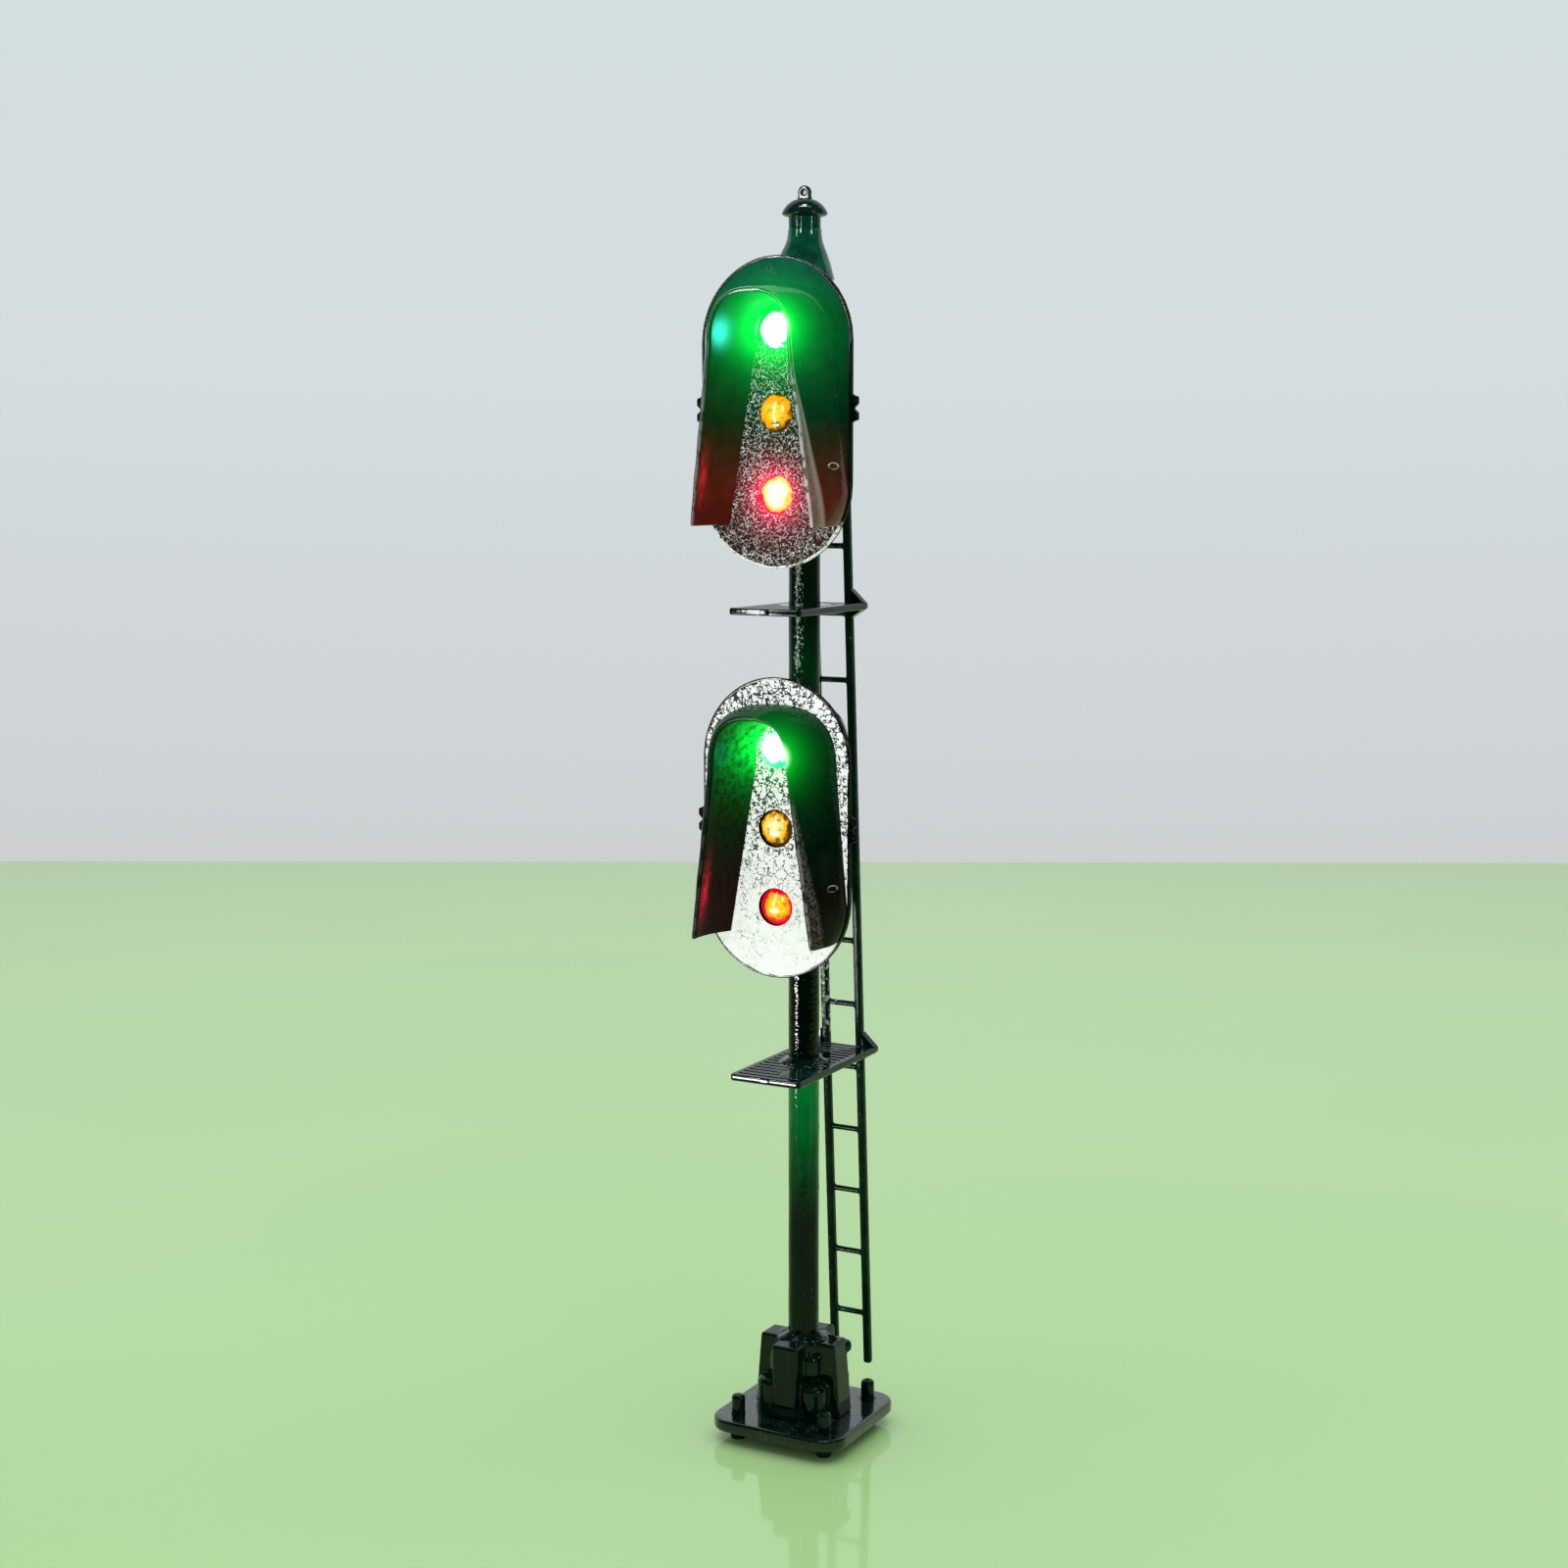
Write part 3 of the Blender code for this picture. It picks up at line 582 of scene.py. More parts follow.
def hood_lining(head):
    """The inside of the hood: dull dark moulding that takes the light of the lamps."""
    is_upper = head == "upper"
    surface = Surface(f"{head}_hood_lining", roughness=0.35, specular=0.04)
    surface.feed(surface.ramp(surface.noise(0.7, 4.0), (0.3, srgb(3, 9, 6)),
                              (0.7, srgb(6, 18, 11))), "Base Color")
    surface.bump(surface.noise(1.6, 4.0), 0.04)

    # Painted light: a cyan spot beside the green lamp, and a painted red reflection streaking down
    # the left wall.
    spot = surface.distance(-hood_half_width(6.0, 0.8, False), HOOD_BACK - 3.3,
                            HEAD_HEIGHT[head] + 6.0)
    spot = surface.math("EXPONENT", surface.times(spot, spot, -1.1))
    off = surface.distance(-hood_half_width(-4.6, 0.86, False), HOOD_BACK - 3.4, None)
    rise = surface.minus(surface.axes()[2], HEAD_HEIGHT[head] - 5.0)
    strength, fall_off = (0.35, -0.25) if is_upper else (0.42, -0.16)
    streak = surface.math("EXPONENT", surface.plus(surface.times(off, off, -5.0),
                                                   surface.times(rise, rise, fall_off)))
    ripple = surface.span(surface.noise(2.2, 3.0, stretch=(1.0, 1.0, 0.5)), 0.35, 0.65, 0.3, 1.5)

    green = lamp_light(surface, head, "green", 0.8, GREEN_GLOW, 9.0 if is_upper else 6.3, 2.9)
    if not is_upper:
        mottle = surface.span(surface.noise(1.9, 4.0, 0.65), 0.38, 0.60, 0.45, 2.6)
        green = surface.scaled(green, mottle)
    red = lamp_light(surface, head, "red", 1.4, RED_GLOW, 0.35, 2.6)
    surface.emit(
        bloom(surface, head, "green"),
        bloom(surface, head, "red"),
        burn_through(surface, head),
        green,
        surface.scaled(CYAN_GLOW, surface.times(spot, 1.2 if is_upper else 0.05)),
        lamp_light(surface, head, "amber", 1.2, AMBER_GLOW, 0.035, 2.6),
        surface.scaled(red, ripple),
        surface.scaled((1.0, 0.01, 0.04), surface.times(streak, strength, ripple)),
    )
    return surface.mat


def inside_hood(surface, aside, level):
    """0 on the face between the hood's walls and below its feet, 1 on the face outside it."""
    wall = surface.plus(surface.times(surface.minus(HOOD_SPRING, level), 0.13), 3.4)
    outside = surface.span(surface.minus(aside, wall), -0.6, 0.4)
    return surface.times(outside, surface.span(level, HOOD_FOOT - 0.2, HOOD_FOOT + 0.5))


CURL_EDGE = 0.008


def shaded_upper_sparkle(surface, curl, unevenness, extent, sparse):
    """Shaded copy: white glint curls on a ground from purple-grey at the foot to green at the
    crown.
    """
    width = surface.profile(extent, (0.0, 0.015), (0.5, 0.020), (0.66, 0.017), (0.78, 0.0),
                            (1.0, 0.0))
    width = surface.plus(width, surface.span(extent, 0.72, 0.80, 0.0, -0.012), unevenness,
                         surface.span(sparse, 0.0, 1.0, 0.0, -0.05))
    light = surface.span(surface.minus(curl, width), -CURL_EDGE, CURL_EDGE, 1.0, 0.0)
    # Painted reflection: green towards the crown; outside the hood, less painted light: a darker
    # ground, fewer glints.
    ground = surface.ramp(extent, (0.0, srgb(60, 48, 54)), (0.35, srgb(46, 38, 41)),
                          (0.62, srgb(22, 27, 26)), (0.85, srgb(6, 40, 28)),
                          (1.0, srgb(10, 62, 46)))
    ground = surface.mix(sparse, ground, surface.ramp(
        extent, (0.3, srgb(4, 12, 8)), (0.9, srgb(8, 48, 35))))
    return surface.mix(light, ground, srgb(236, 236, 240)), light


def lit_lower_sparkle(surface, curl, unevenness, extent):
    """Lit copy: the same paint lit white, with dark curls, clean at the foot and dense at the
    crown.
    """
    width = surface.profile(extent, (0.0, 0.0), (0.28, 0.010), (0.42, 0.032), (0.6, 0.046),
                            (1.0, 0.050))
    width = surface.plus(width, unevenness)
    dark = surface.span(surface.minus(curl, width), -CURL_EDGE, CURL_EDGE, 1.0, 0.0)
    ground = surface.ramp(surface.noise(2.0, 2.0), (0.3, srgb(236, 230, 238)),
                          (0.7, srgb(253, 247, 253)))
    return (surface.mix(surface.times(dark, 0.92), ground, srgb(34, 40, 42)),
            surface.minus(1.0, dark))


def target_material(head):
    """Sparkle paint on the target's face in painted light, gloss on its edge and back, glow round
    the lenses.
    """
    is_upper = head == "upper"
    surface = Surface(f"{head}_sparkle_paint", roughness=0.6, specular=0.02)
    x, _, z = surface.axes()
    level = surface.minus(z, HEAD_HEIGHT[head])
    aside = surface.math("ABSOLUTE", x)
    extent = surface.span(level, -TARGET_HALF_HEIGHT, TARGET_HALF_HEIGHT)
    grain = surface.noise(3.0 if is_upper else 2.2, 2.0, 0.6)
    curl = surface.math("ABSOLUTE", surface.minus(grain, 0.5))
    unevenness = surface.span(surface.noise(0.8, 3.0), 0.3, 0.7, -0.012, 0.012)
    # Painted light: one sparkle paint, as a shaded copy on the upper head and a lit copy on the
    # lower.
    if is_upper:
        body, light = shaded_upper_sparkle(surface, curl, unevenness, extent,
                                    inside_hood(surface, aside, level))
    else:
        body, light = lit_lower_sparkle(surface, curl, unevenness, extent)

    front = surface.span(surface.parts(surface.coordinates["Normal"])[1], -0.9, -0.6, 1.0, 0.0)
    front = surface.times(front, surface.span(
        aside, TARGET_HALF_WIDTH - 0.12, TARGET_HALF_WIDTH - 0.06, 1.0, 0.0))
    for colour in LAMP_COLOURS if is_upper else ("green",):
        lens = surface.distance(0.0, None, lens_height(head, colour))
        front = surface.math("MAXIMUM", front, surface.math("LESS_THAN", lens, 1.9))
    surface.feed(surface.mix(front, BOTTLE_DARK, body), "Base Color")
    surface.feed(surface.span(front, 0.0, 1.0, 0.2, 0.45), "Roughness")
    surface.bump(grain, 0.05)
    surface.bump(surface.noise(3.0, 2.0), 0.03)

    # Painted highlight: the light parts of the sparkle glow white.
    painted_glint_light = surface.scaled(WHITE, surface.times(light, 0.36 if is_upper else 0.56))
    green = bloom(surface, head, "green")
    if is_upper:
        lights = (green, surface.scaled(bloom(surface, head, "red"), 0.22),
                  halo(surface, head, "green", GREEN_GLOW, 0.5, 0.8),
                  halo(surface, head, "red", (1.0, 0.02, 0.12), 1.1, 0.75), painted_glint_light)
    else:
        lights = (surface.scaled(green, 0.35),
                  halo(surface, head, "green", GREEN_GLOW, 0.35, 0.5), painted_glint_light)
    surface.emit(surface.scaled(surface.together(*lights), front))
    return surface.mat


def rim_material(head):
    """Dark gloss round the target, with painted highlights broken along its foot, many on the
    upper head.
    """
    surface = gloss_paint(f"{head}_rim_paint", srgb(4, 12, 8), srgb(9, 28, 19), (0.12, 0.26), 0.01)
    # Painted highlight: white glints with a little emitted light, along the rim's foot.
    foot = HEAD_HEIGHT[head] - 8.4
    few, many = (0.66, 0.70), (0.40, 0.46)
    glint_pattern = surface.span(surface.noise(2.2, 3.0, 0.6), *(many if head == "upper" else few))
    foot_glints = surface.times(glint_pattern, surface.span(surface.axes()[2], foot - 0.3, foot + 0.3, 1.0, 0.0))
    surface.feed(surface.mix(foot_glints, surface.paint, srgb(240, 242, 244)), "Base Color")
    surface.emit(surface.scaled((0.30, 0.30, 0.31), foot_glints))
    return surface.mat


def mark_material(head):
    """The raised oval, whose crest catches the light in pieces."""
    surface = gloss_paint(f"{head}_mark_paint", srgb(10, 20, 15), srgb(22, 34, 28), (0.1, 0.2),
                          0.01)
    crest = surface.span(surface.noise(1.5, 2.0), 0.40, 0.55)
    surface.feed(surface.mix(crest, surface.paint, srgb(150, 152, 148)), "Base Color")
    surface.emit(surface.scaled((0.16, 0.16, 0.155), crest))
    return surface.mat


def case_material(head):
    """Gloss moulding; the bell on top of the upper case lets a little green light through."""
    surface = gloss_paint(f"{head}_case_moulding", srgb(4, 15, 10), srgb(10, 36, 26),
                          (0.12, 0.26), 0.02, dust=0.4)
    bell = HEAD_HEIGHT["upper"] + 9.0
    amount = surface.span(surface.axes()[2], bell, bell + 2.0, 0.0, 0.05)
    blotch = surface.span(surface.noise(0.9, 4.0), 0.3, 0.7, 0.4, 1.6)
    surface.emit(surface.scaled(TEAL_GLOW, surface.times(amount, blotch)))
    return surface.mat


def board_material():
    surface = Surface("board_laminate", roughness=0.4)
    weave = surface.noise(3.0, 3.0, stretch=(1.0, 1.0, 0.3))
    surface.feed(surface.ramp(weave, (0.3, srgb(12, 40, 26)), (0.7, srgb(24, 70, 42))),
                 "Base Color")
    surface.bump(weave, 0.02)
    return surface.mat


# Core, middle and rim colours, where they fall along the radius, and how bright the lens is.
LENS_LOOKS = {
    "upper_green": ((WHITE, (0.85, 1.0, 0.9), (0.02, 0.9, 0.14)), (0.62, 0.8, 0.98), 2.0),
    "lower_green": ((WHITE, (0.6, 1.0, 0.85), (0.02, 0.8, 0.25)), (0.5, 0.7, 0.95), 1.7),
    # Painted shade: the amber lenses' dark rims stand for the shaded ring round each lens.
    "upper_amber": ((srgb(255, 226, 60), srgb(250, 176, 10), srgb(74, 38, 4)),
                    (0.25, 0.80, 0.97), 1.05),
    "lower_amber": ((srgb(255, 240, 150), srgb(252, 192, 26), srgb(74, 38, 6)),
                    (0.32, 0.68, 0.88), 1.1),
    "upper_red": ((srgb(255, 252, 215), srgb(255, 205, 90), srgb(250, 20, 60)),
                  (0.55, 0.82, 1.0), 1.25),
    "lower_red": ((srgb(255, 222, 30), srgb(248, 170, 20), srgb(222, 10, 36)),
                  (0.4, 0.66, 0.80), 1.0),
}


def lens_material(head, colour):
    """A lit lamp: a hot core a little off its centre, a deep rim, and the die's dark marks."""
    surface = Surface(f"{head}_lens_{colour}", roughness=0.12)
    colours, stops, gain = LENS_LOOKS[f"{head}_{colour}"]
    rim_colour = colours[2]
    z = lens_height(head, colour)
    distance = surface.distance(0.12 if colour == "red" else -0.05, None, z + 0.1)
    wobble = surface.span(surface.noise(1.5, 3.0), 0.3, 0.7, -0.2, 0.2)
    spread = surface.math("DIVIDE", surface.plus(distance, wobble), LAMP_RADIUS)
    glow = surface.ramp(spread, *zip(stops, colours), smooth=True)
    if colour == "amber" or (head, colour) == ("lower", "red"):
        marks = surface.span(surface.noise(2.6, 3.0, 0.6), 0.56, 0.66)
        glow = surface.mix(surface.times(marks, 0.55), glow, rim_colour)
    if colour == "amber":
        spot = surface.span(surface.distance(0.25, None, z - 0.85), 0.12, 0.32, 0.85, 0.0)
        glow = surface.mix(spot, glow, srgb(40, 14, 2))
    surface.feed(surface.scaled(rim_colour, 0.3), "Base Color")
    surface.emit(surface.scaled(glow, gain))
    surface.bump(surface.noise(2.5, 2.0), 0.01)
    return surface.mat


# ---------------------------------------------------------------- finishes of the stand

def mast_glow(surface, z):
    """Green light in the tube under the lower platform and the upper head, and below its cap."""
    foot, deck = PLATFORM_FOOT["lower"], PLATFORM_FOOT["upper"]
    low = surface.math("POWER", surface.span(z, foot - 12.0, foot - 1.5), 1.5)
    under = surface.times(low, surface.math("LESS_THAN", z, foot + 0.3), 0.16)
    above = surface.times(surface.span(z, deck - 8.0, deck - 4.0),
                          surface.span(z, deck - 3.0, deck, 1.0, 0.25), 0.018)
    streaks = surface.span(surface.noise(1.2, 4.0, stretch=(1.0, 1.0, 0.25)), 0.3, 0.7, 0.6, 1.15)
    surface.emit(
        surface.scaled((0.002, 1.0, 0.16), surface.times(surface.plus(under, above), streaks)),
        surface.scaled(TEAL_GLOW, surface.times(surface.span(z, 91.0, 93.0), streaks, 0.035)))


def mast_material():
    """Black-green gloss with a rough band of painted glints, and green light showing through it.
    """
    surface = gloss_paint("mast_paint", srgb(2, 8, 5), srgb(6, 22, 13), (0.08, 0.22), 0.012,
                          coat_ior=1.3)
    x, y, z = surface.axes()
    mast_glow(surface, z)
    deck = PLATFORM_FOOT["upper"]
    # Painted highlight: white glints in a column down the tube's front, where the strip light's
    # reflection runs.
    reach = surface.times(surface.span(z, deck - 6.0, deck - 3.0),
                          surface.span(z, deck + 6.0, deck + 9.0, 1.0, 0.3))
    aside = surface.minus(x, 0.1)
    highlight_column = surface.times(surface.math("EXPONENT", surface.times(aside, aside, -11.0)),
                           surface.math("LESS_THAN", y, 0.0), reach)
    fleck = surface.plus(surface.noise(5.2, 2.0, 0.7, stretch=(1.0, 1.0, 0.8)),
                         surface.times(highlight_column, 0.13))
    painted_glints = surface.times(surface.span(fleck, 0.62, 0.68), reach,
                           surface.span(highlight_column, 0.02, 0.25))
    surface.feed(surface.mix(painted_glints, surface.paint, srgb(226, 232, 232)), "Base Color")
    surface.bump(surface.times(fleck, reach), 0.015)

    foot = PLATFORM_FOOT["lower"]
    beads = surface.noise(3.0, 1.0, 0.5, stretch=(0.6, 0.6, 1.0))
    above_tread = surface.times(surface.span(z, foot + 0.5, foot + 1.0),
                                surface.span(z, foot + 13.0, foot + 15.0, 1.0, 0.0))
    surface.bump(surface.times(beads, above_tread), 0.055)
    surface.feed(surface.normal, "Coat Normal")
    return surface.mat


def casting_material(name, peel, coat_ior, specular=0.0):
    """Black-green enamel on the foot, mirror-bright on flat faces, speckled along its edges."""
    surface = gloss_paint(name, srgb(3, 14, 10), srgb(8, 34, 24), (0.08, 0.20), peel, dust=0.5,
                          coat_ior=coat_ior, specular=specular)
    edge = surface.tree.nodes.new("ShaderNodeNewGeometry").outputs["Pointiness"]
    specks = surface.span(surface.noise(5.0, 3.0, 0.6), 0.52, 0.62)
    # Pale flecks along the sharper edges.
    edge_flecks = surface.times(surface.span(edge, 0.56, 0.66), specks, 0.5)
    surface.feed(surface.mix(edge_flecks, surface.paint, srgb(104, 122, 110)), "Base Color")
    surface.bump(surface.times(surface.noise(5.0, 2.0), surface.span(edge, 0.5, 0.54)), 0.03)
    return surface.mat


def ladder_material():
    """Dark green gloss, with painted glints on one stringer above the lower platform."""
    surface = gloss_paint("ladder_paint", srgb(6, 26, 16), srgb(15, 54, 34), (0.14, 0.30), 0.025,
                          grit=0.012, dust=0.6, coat_ior=1.2, coat_roughness=0.12)
    x, _, z = surface.axes()
    low = LOWER_LUG_TOP
    # Painted highlight: white glints on the left stringer above the lower platform.
    reach = surface.times(surface.span(z, low - 1.0, low + 0.5),
                          surface.span(z, low + 9.0, low + 13.0, 1.0, 0.0),
                          surface.math("LESS_THAN", x, 0.0))
    painted_glints = surface.times(surface.span(surface.noise(2.6, 2.0), 0.54, 0.60), reach)
    surface.feed(surface.mix(painted_glints, surface.paint, srgb(210, 222, 216)), "Base Color")
    return surface.mat


def lead_material():
    surface = Surface("lead_enamel", roughness=0.3)
    surface.feed(surface.ramp(surface.noise(1.5, 2.0, stretch=(3.0, 3.0, 0.2)),
                              (0.4, srgb(80, 20, 12)), (0.6, srgb(150, 60, 30))), "Base Color")
    surface.bump(surface.noise(4.0, 2.0), 0.02)
    return surface.mat


# ---------------------------------------------------------------- the heads

def target_edge(height):
    """Half-width of the target at a height in its head."""
    straight = TARGET_HALF_HEIGHT - TARGET_HALF_WIDTH
    above = max(abs(height) - straight, 0.0)
    return math.sqrt(max(TARGET_HALF_WIDTH ** 2 - above ** 2, 0.0))


def flare(widths, below):
    half_width, per_mm = widths
    return half_width + per_mm * below


def hood_half_width(height, reach, outer):
    """Half-width of the hood at a height, 0 to 1 of the way from the target to the lip."""
    below = HOOD_SPRING - height
    at_lip = flare(HOOD_OUTER_AT_LIP, below)
    if outer:
        at_target = min(flare(HOOD_OUTER_AT_TARGET, below), target_edge(height) - 0.12)
        bulge = 0.35
    else:
        at_target = flare(HOOD_INNER_AT_TARGET, below)
        at_lip -= HOOD_LIP
        bulge = 0.25
    return at_target + (at_lip - at_target) * reach + 4.0 * bulge * reach * (1.0 - reach)


def hood_rail(reach, outer):
    """One line along the hood, from its left foot over the crown to its right foot."""
    crown_target, crown_lip = (9.75, 9.12) if outer else (8.1, 9.12 - HOOD_LIP)
    crown = crown_target + (crown_lip - crown_target) * reach + 0.8 * reach * (1.0 - reach)
    power = 2.0 / (2.6 if outer else 2.2 + 0.5 * reach)
    spring_half = hood_half_width(HOOD_SPRING, reach, outer)
    rise = HOOD_SPRING - HOOD_FOOT
    rail = []
    for i in range(HOOD_SIDE_STEPS):
        height = HOOD_FOOT + rise * i / HOOD_SIDE_STEPS
        rail.append((-hood_half_width(height, reach, outer), height))
    for i in range(HOOD_ARCH_STEPS + 1):
        angle = math.pi * (1.0 - i / HOOD_ARCH_STEPS)
        c, s = math.cos(angle), max(math.sin(angle), 0.0)
        x = math.copysign(abs(c) ** power, c) * spring_half
        rail.append((x, HOOD_SPRING + (crown - HOOD_SPRING) * s ** power))
    for i in range(HOOD_SIDE_STEPS):
        height = HOOD_SPRING - rise * (i + 1) / HOOD_SIDE_STEPS
        rail.append((hood_half_width(height, reach, outer), height))
    points = []
    for x, z in rail:
        part = min(max((z - HOOD_FOOT) / rise, 0.0), 1.0)
        depth = HOOD_DEPTH_FOOT + (HOOD_DEPTH_CROWN - HOOD_DEPTH_FOOT) * part
        points.append(Vector((x, HOOD_BACK - depth * reach, z)))
    return points


def hood_lips(outer_edge, inner_edge, steps=6):
    """Rails that carry the lip round in half a circle, from its outer to its inner edge."""
    lips = []
    for step in range(1, steps):
        angle = math.pi * step / steps
        bulge = Vector((0, -0.035 * HOOD_DEPTH_CROWN * math.sin(angle), 0))
        lips.append([(a + b) / 2 + (a - b) / 2 * math.cos(angle) + bulge
                     for a, b in zip(outer_edge, inner_edge)])
    return lips


def foot_rings(ring):
    """Rings that close the end of a hood wall in a soft edge, outermost first."""
    half = len(ring) // 2
    rings = []
    for step in (3, 2, 1):
        angle = math.pi / 2 * step / 3.4
        shrunk = []
        for i, p in enumerate(ring):
            across = ring[len(ring) - 1 - i] if i != half else p
            middle = (p + across) / 2
            q = middle + (p - middle) * math.cos(angle)
            shrunk.append(q - Vector((0, 0, 0.14 * math.sin(angle))))
        rings.append(shrunk)
    return rings


def hood(head):
    """The moulded hood: walls thick at the target, a thin rounded lip, rounded feet."""
    lip_reach = 0.965
    reaches = [i / HOOD_DEPTH_STEPS for i in range(HOOD_DEPTH_STEPS)]
    outer = [hood_rail(reach, True) for reach in reaches + [lip_reach]]
    inner = [hood_rail(reach, False) for reach in [lip_reach] + reaches[::-1]]
    lips = hood_lips(outer[-1], inner[0])
    rails = outer + lips + inner
    sections = [list(section) for section in zip(*rails)]
    sections = foot_rings(sections[0]) + sections + foot_rings(sections[-1])[::-1]
    seed = 7.0 if head == "upper" else 31.0
    moved = []
    for ring in sections:
        out = []
        for p in ring:
            wave = noise.noise(p * 0.55 + Vector((seed, 0, 0))) * 0.05
            free = min(max((HOOD_BACK - p.y) / 1.5, 0.0), 1.0)  # none where it joins the target
            out.append(p + Vector((wave * free, wave * free * 0.6, wave * free)) +
                       Vector((0, 0, HEAD_HEIGHT[head])))
        moved.append(out)
    obj = shade(loft(f"{head}_hood_moulding", moved), 60)
    place(obj, f"{head}_head", "gloss_green", hood_material(head), f"{head}_hood")
    obj.data.materials.append(hood_lining(head))
    around_ring = len(rails)
    for index, face in enumerate(obj.data.polygons[:(len(moved) - 1) * around_ring]):
        if len(outer) + len(lips) <= index % around_ring < around_ring - 1:
            face.material_index = 1
    return obj


def target_outline(inset, steps=40):
    """Stadium round the target, without its ears."""
    radius = TARGET_HALF_WIDTH - inset
    straight = TARGET_HALF_HEIGHT - TARGET_HALF_WIDTH
    points = []
    for side, start in ((1, 0.0), (-1, math.pi)):
        for i in range(steps + 1):
            angle = start + math.pi * i / steps
            points.append((radius * math.cos(angle), side * straight + radius * math.sin(angle)))
    filled = []
    for (x0, z0), (x1, z1) in zip(points, points[1:] + points[:1]):
        parts = max(1, round(math.hypot(x1 - x0, z1 - z0) / 0.45))
        filled += [(x0 + (x1 - x0) * k / parts, z0 + (z1 - z0) * k / parts)
                   for k in range(parts)]
    return filled


def target_rim(head, mat):
    """A bead of gloss paint that has gathered round the edge of the target's face."""
    seed = 3.0 if head == "upper" else 11.0
    outline = target_outline(0.10)
    sections = []
    for i, (x, z) in enumerate(outline):
        (x0, z0), (x1, z1) = outline[i - 1], outline[(i + 1) % len(outline)]
        normal = Vector((z1 - z0, 0, -(x1 - x0))).normalized()
        rise = noise.noise(Vector((x, seed, z)) * 1.1)
        radius = 0.13 + 0.04 * rise
        centre = Vector((x, TARGET_FACE + 0.08, z + HEAD_HEIGHT[head])) - normal * 0.03 * rise
        sections.append([centre + normal * c + Vector((0, -0.8 * s, 0))
                         for c, s in circle(radius, 10)])
    obj = shade(loft(f"{head}_target_rim", sections, closed=True), 80)
    return place(obj, f"{head}_head", "gloss_green", mat)


def wall_mark(head, side, mat):
    """The small raised oval ring that the mould leaves on a hood's outer wall."""
    height, reach = -4.0, 0.42
    half_length, half_height, thickness = 0.5, 0.24, 0.07
    half = hood_half_width(height, reach, True)
    depth = HOOD_BACK - (HOOD_DEPTH_FOOT + 0.14) * reach
    ahead = hood_half_width(height, reach + 0.1, True)
    slope = Vector((side * (ahead - half), -0.4, 0)).normalized()
    upward = Vector((side * (hood_half_width(height + 0.5, reach, True) - half), 0, 0.5))
    upward.normalize()
    outward = slope.cross(upward).normalized()
    if outward.x * side < 0:
        outward = -outward
    centre = Vector((side * (half - 0.01), depth, height + HEAD_HEIGHT[head]))
    sections = []
    for c, s in circle(1.0, 36):
        arm = slope * half_length * c + upward * half_height * s
        sections.append([centre + arm * (1 + 0.16 * a) + outward * thickness * b
                         for a, b in circle(1.0, 8)])
    tag = "right" if side > 0 else "left"
    obj = shade(loft(f"{head}_hood_mark_{tag}", sections, closed=True), 80)
    return place(obj, f"{head}_head", "gloss_green", mat)


def lamp_leg(side, front, z):
    """A square lead that ends in a slight point, on one side of the lamp."""
    rings = []
    for y, half in ((front, 0.13), (LAMP_BACK - 0.06, 0.13), (LAMP_BACK, 0.07)):
        corners = [(half, half), (-half, half), (-half, -half), (half, -half)]
        rings.append([Vector((side * 0.65 + a, y, z + b)) for a, b in corners])
    return loft("leg", rings)


def lamp(head, colour):
    """A small lamp: a low dome on a round body, a flange, and two legs through the board."""
    node = f"{head}_lamp_{colour}"
    z = lens_height(head, colour)
    shoulder, flange_front, flange_back = -4.35, -2.9, -2.3
    flange_radius, pole, dome_steps = 1.65, 0.02, 12
    profile = [(pole, flange_back), (flange_radius - 0.05, flange_back),
               (flange_radius, flange_back - 0.06), (flange_radius, flange_front + 0.05),
               (flange_radius - 0.05, flange_front), (LAMP_RADIUS, flange_front - 0.06),
               (LAMP_RADIUS, shoulder)]
    for i in range(1, dome_steps):
        angle = math.pi / 2 * i / dome_steps
        profile.append((LAMP_RADIUS * math.cos(angle),
                        shoulder + (LAMP_TIP - shoulder) * math.sin(angle)))
    profile.append((pole, LAMP_TIP))
    sections = [[Vector((x, y, z + w)) for x, w in circle(r, 48)] for r, y in profile]
    body = loft(node + "_lit", sections)
    pieces = [body, *(lamp_leg(side, flange_back - 0.05, z) for side in (-1, 1))]
    with bpy.context.temp_override(active_object=body, selected_editable_objects=pieces,
                                   selected_objects=pieces):
        bpy.ops.object.join()
    shade(body, 45)
    return place(body, f"{head}_head", f"lamp_{colour}", lens_material(head, colour), node)


def taper_bell(obj):
    """Draw the top of the bell in to the mast, so that the moulding runs out on the tube."""
    start, end = HEAD_HEIGHT["upper"] + 12.4, box_mm("upper_rear_case")[1].z
    snug = MAST_RADIUS + 0.045
    for vertex in obj.data.vertices:
        x, y, z = vertex.co / MM
        radius = math.hypot(x, y)
        if z < start or radius < snug:
            continue
        part = min((z - start) / (end - start), 1.0)
        part = part * part * (3 - 2 * part)
        factor = 1.0 + part * (snug / radius - 1.0)
        vertex.co = Vector((x * factor, y * factor, z)) * MM


def build_head(head):
    hood(head)
    target_rim(head, rim_material(head))
    mark = mark_material(head)
    for side in (-1, 1):
        wall_mark(head, side, mark)
    repaint(f"{head}_target", target_material(head))
    case = case_material(head)
    for part in ("rear_case", "rear_cover"):
        shell = moulded(f"{head}_{part}", "gloss_green", case, 0.10, f"{head}_head", keep=0.5)
        if (head, part) == ("upper", "rear_case"):
            taper_bell(shell)
    repaint(f"{head}_lamp_board", board_material())
    for colour in LAMP_COLOURS:
        lamp(head, colour)


# ---------------------------------------------------------------- the stand

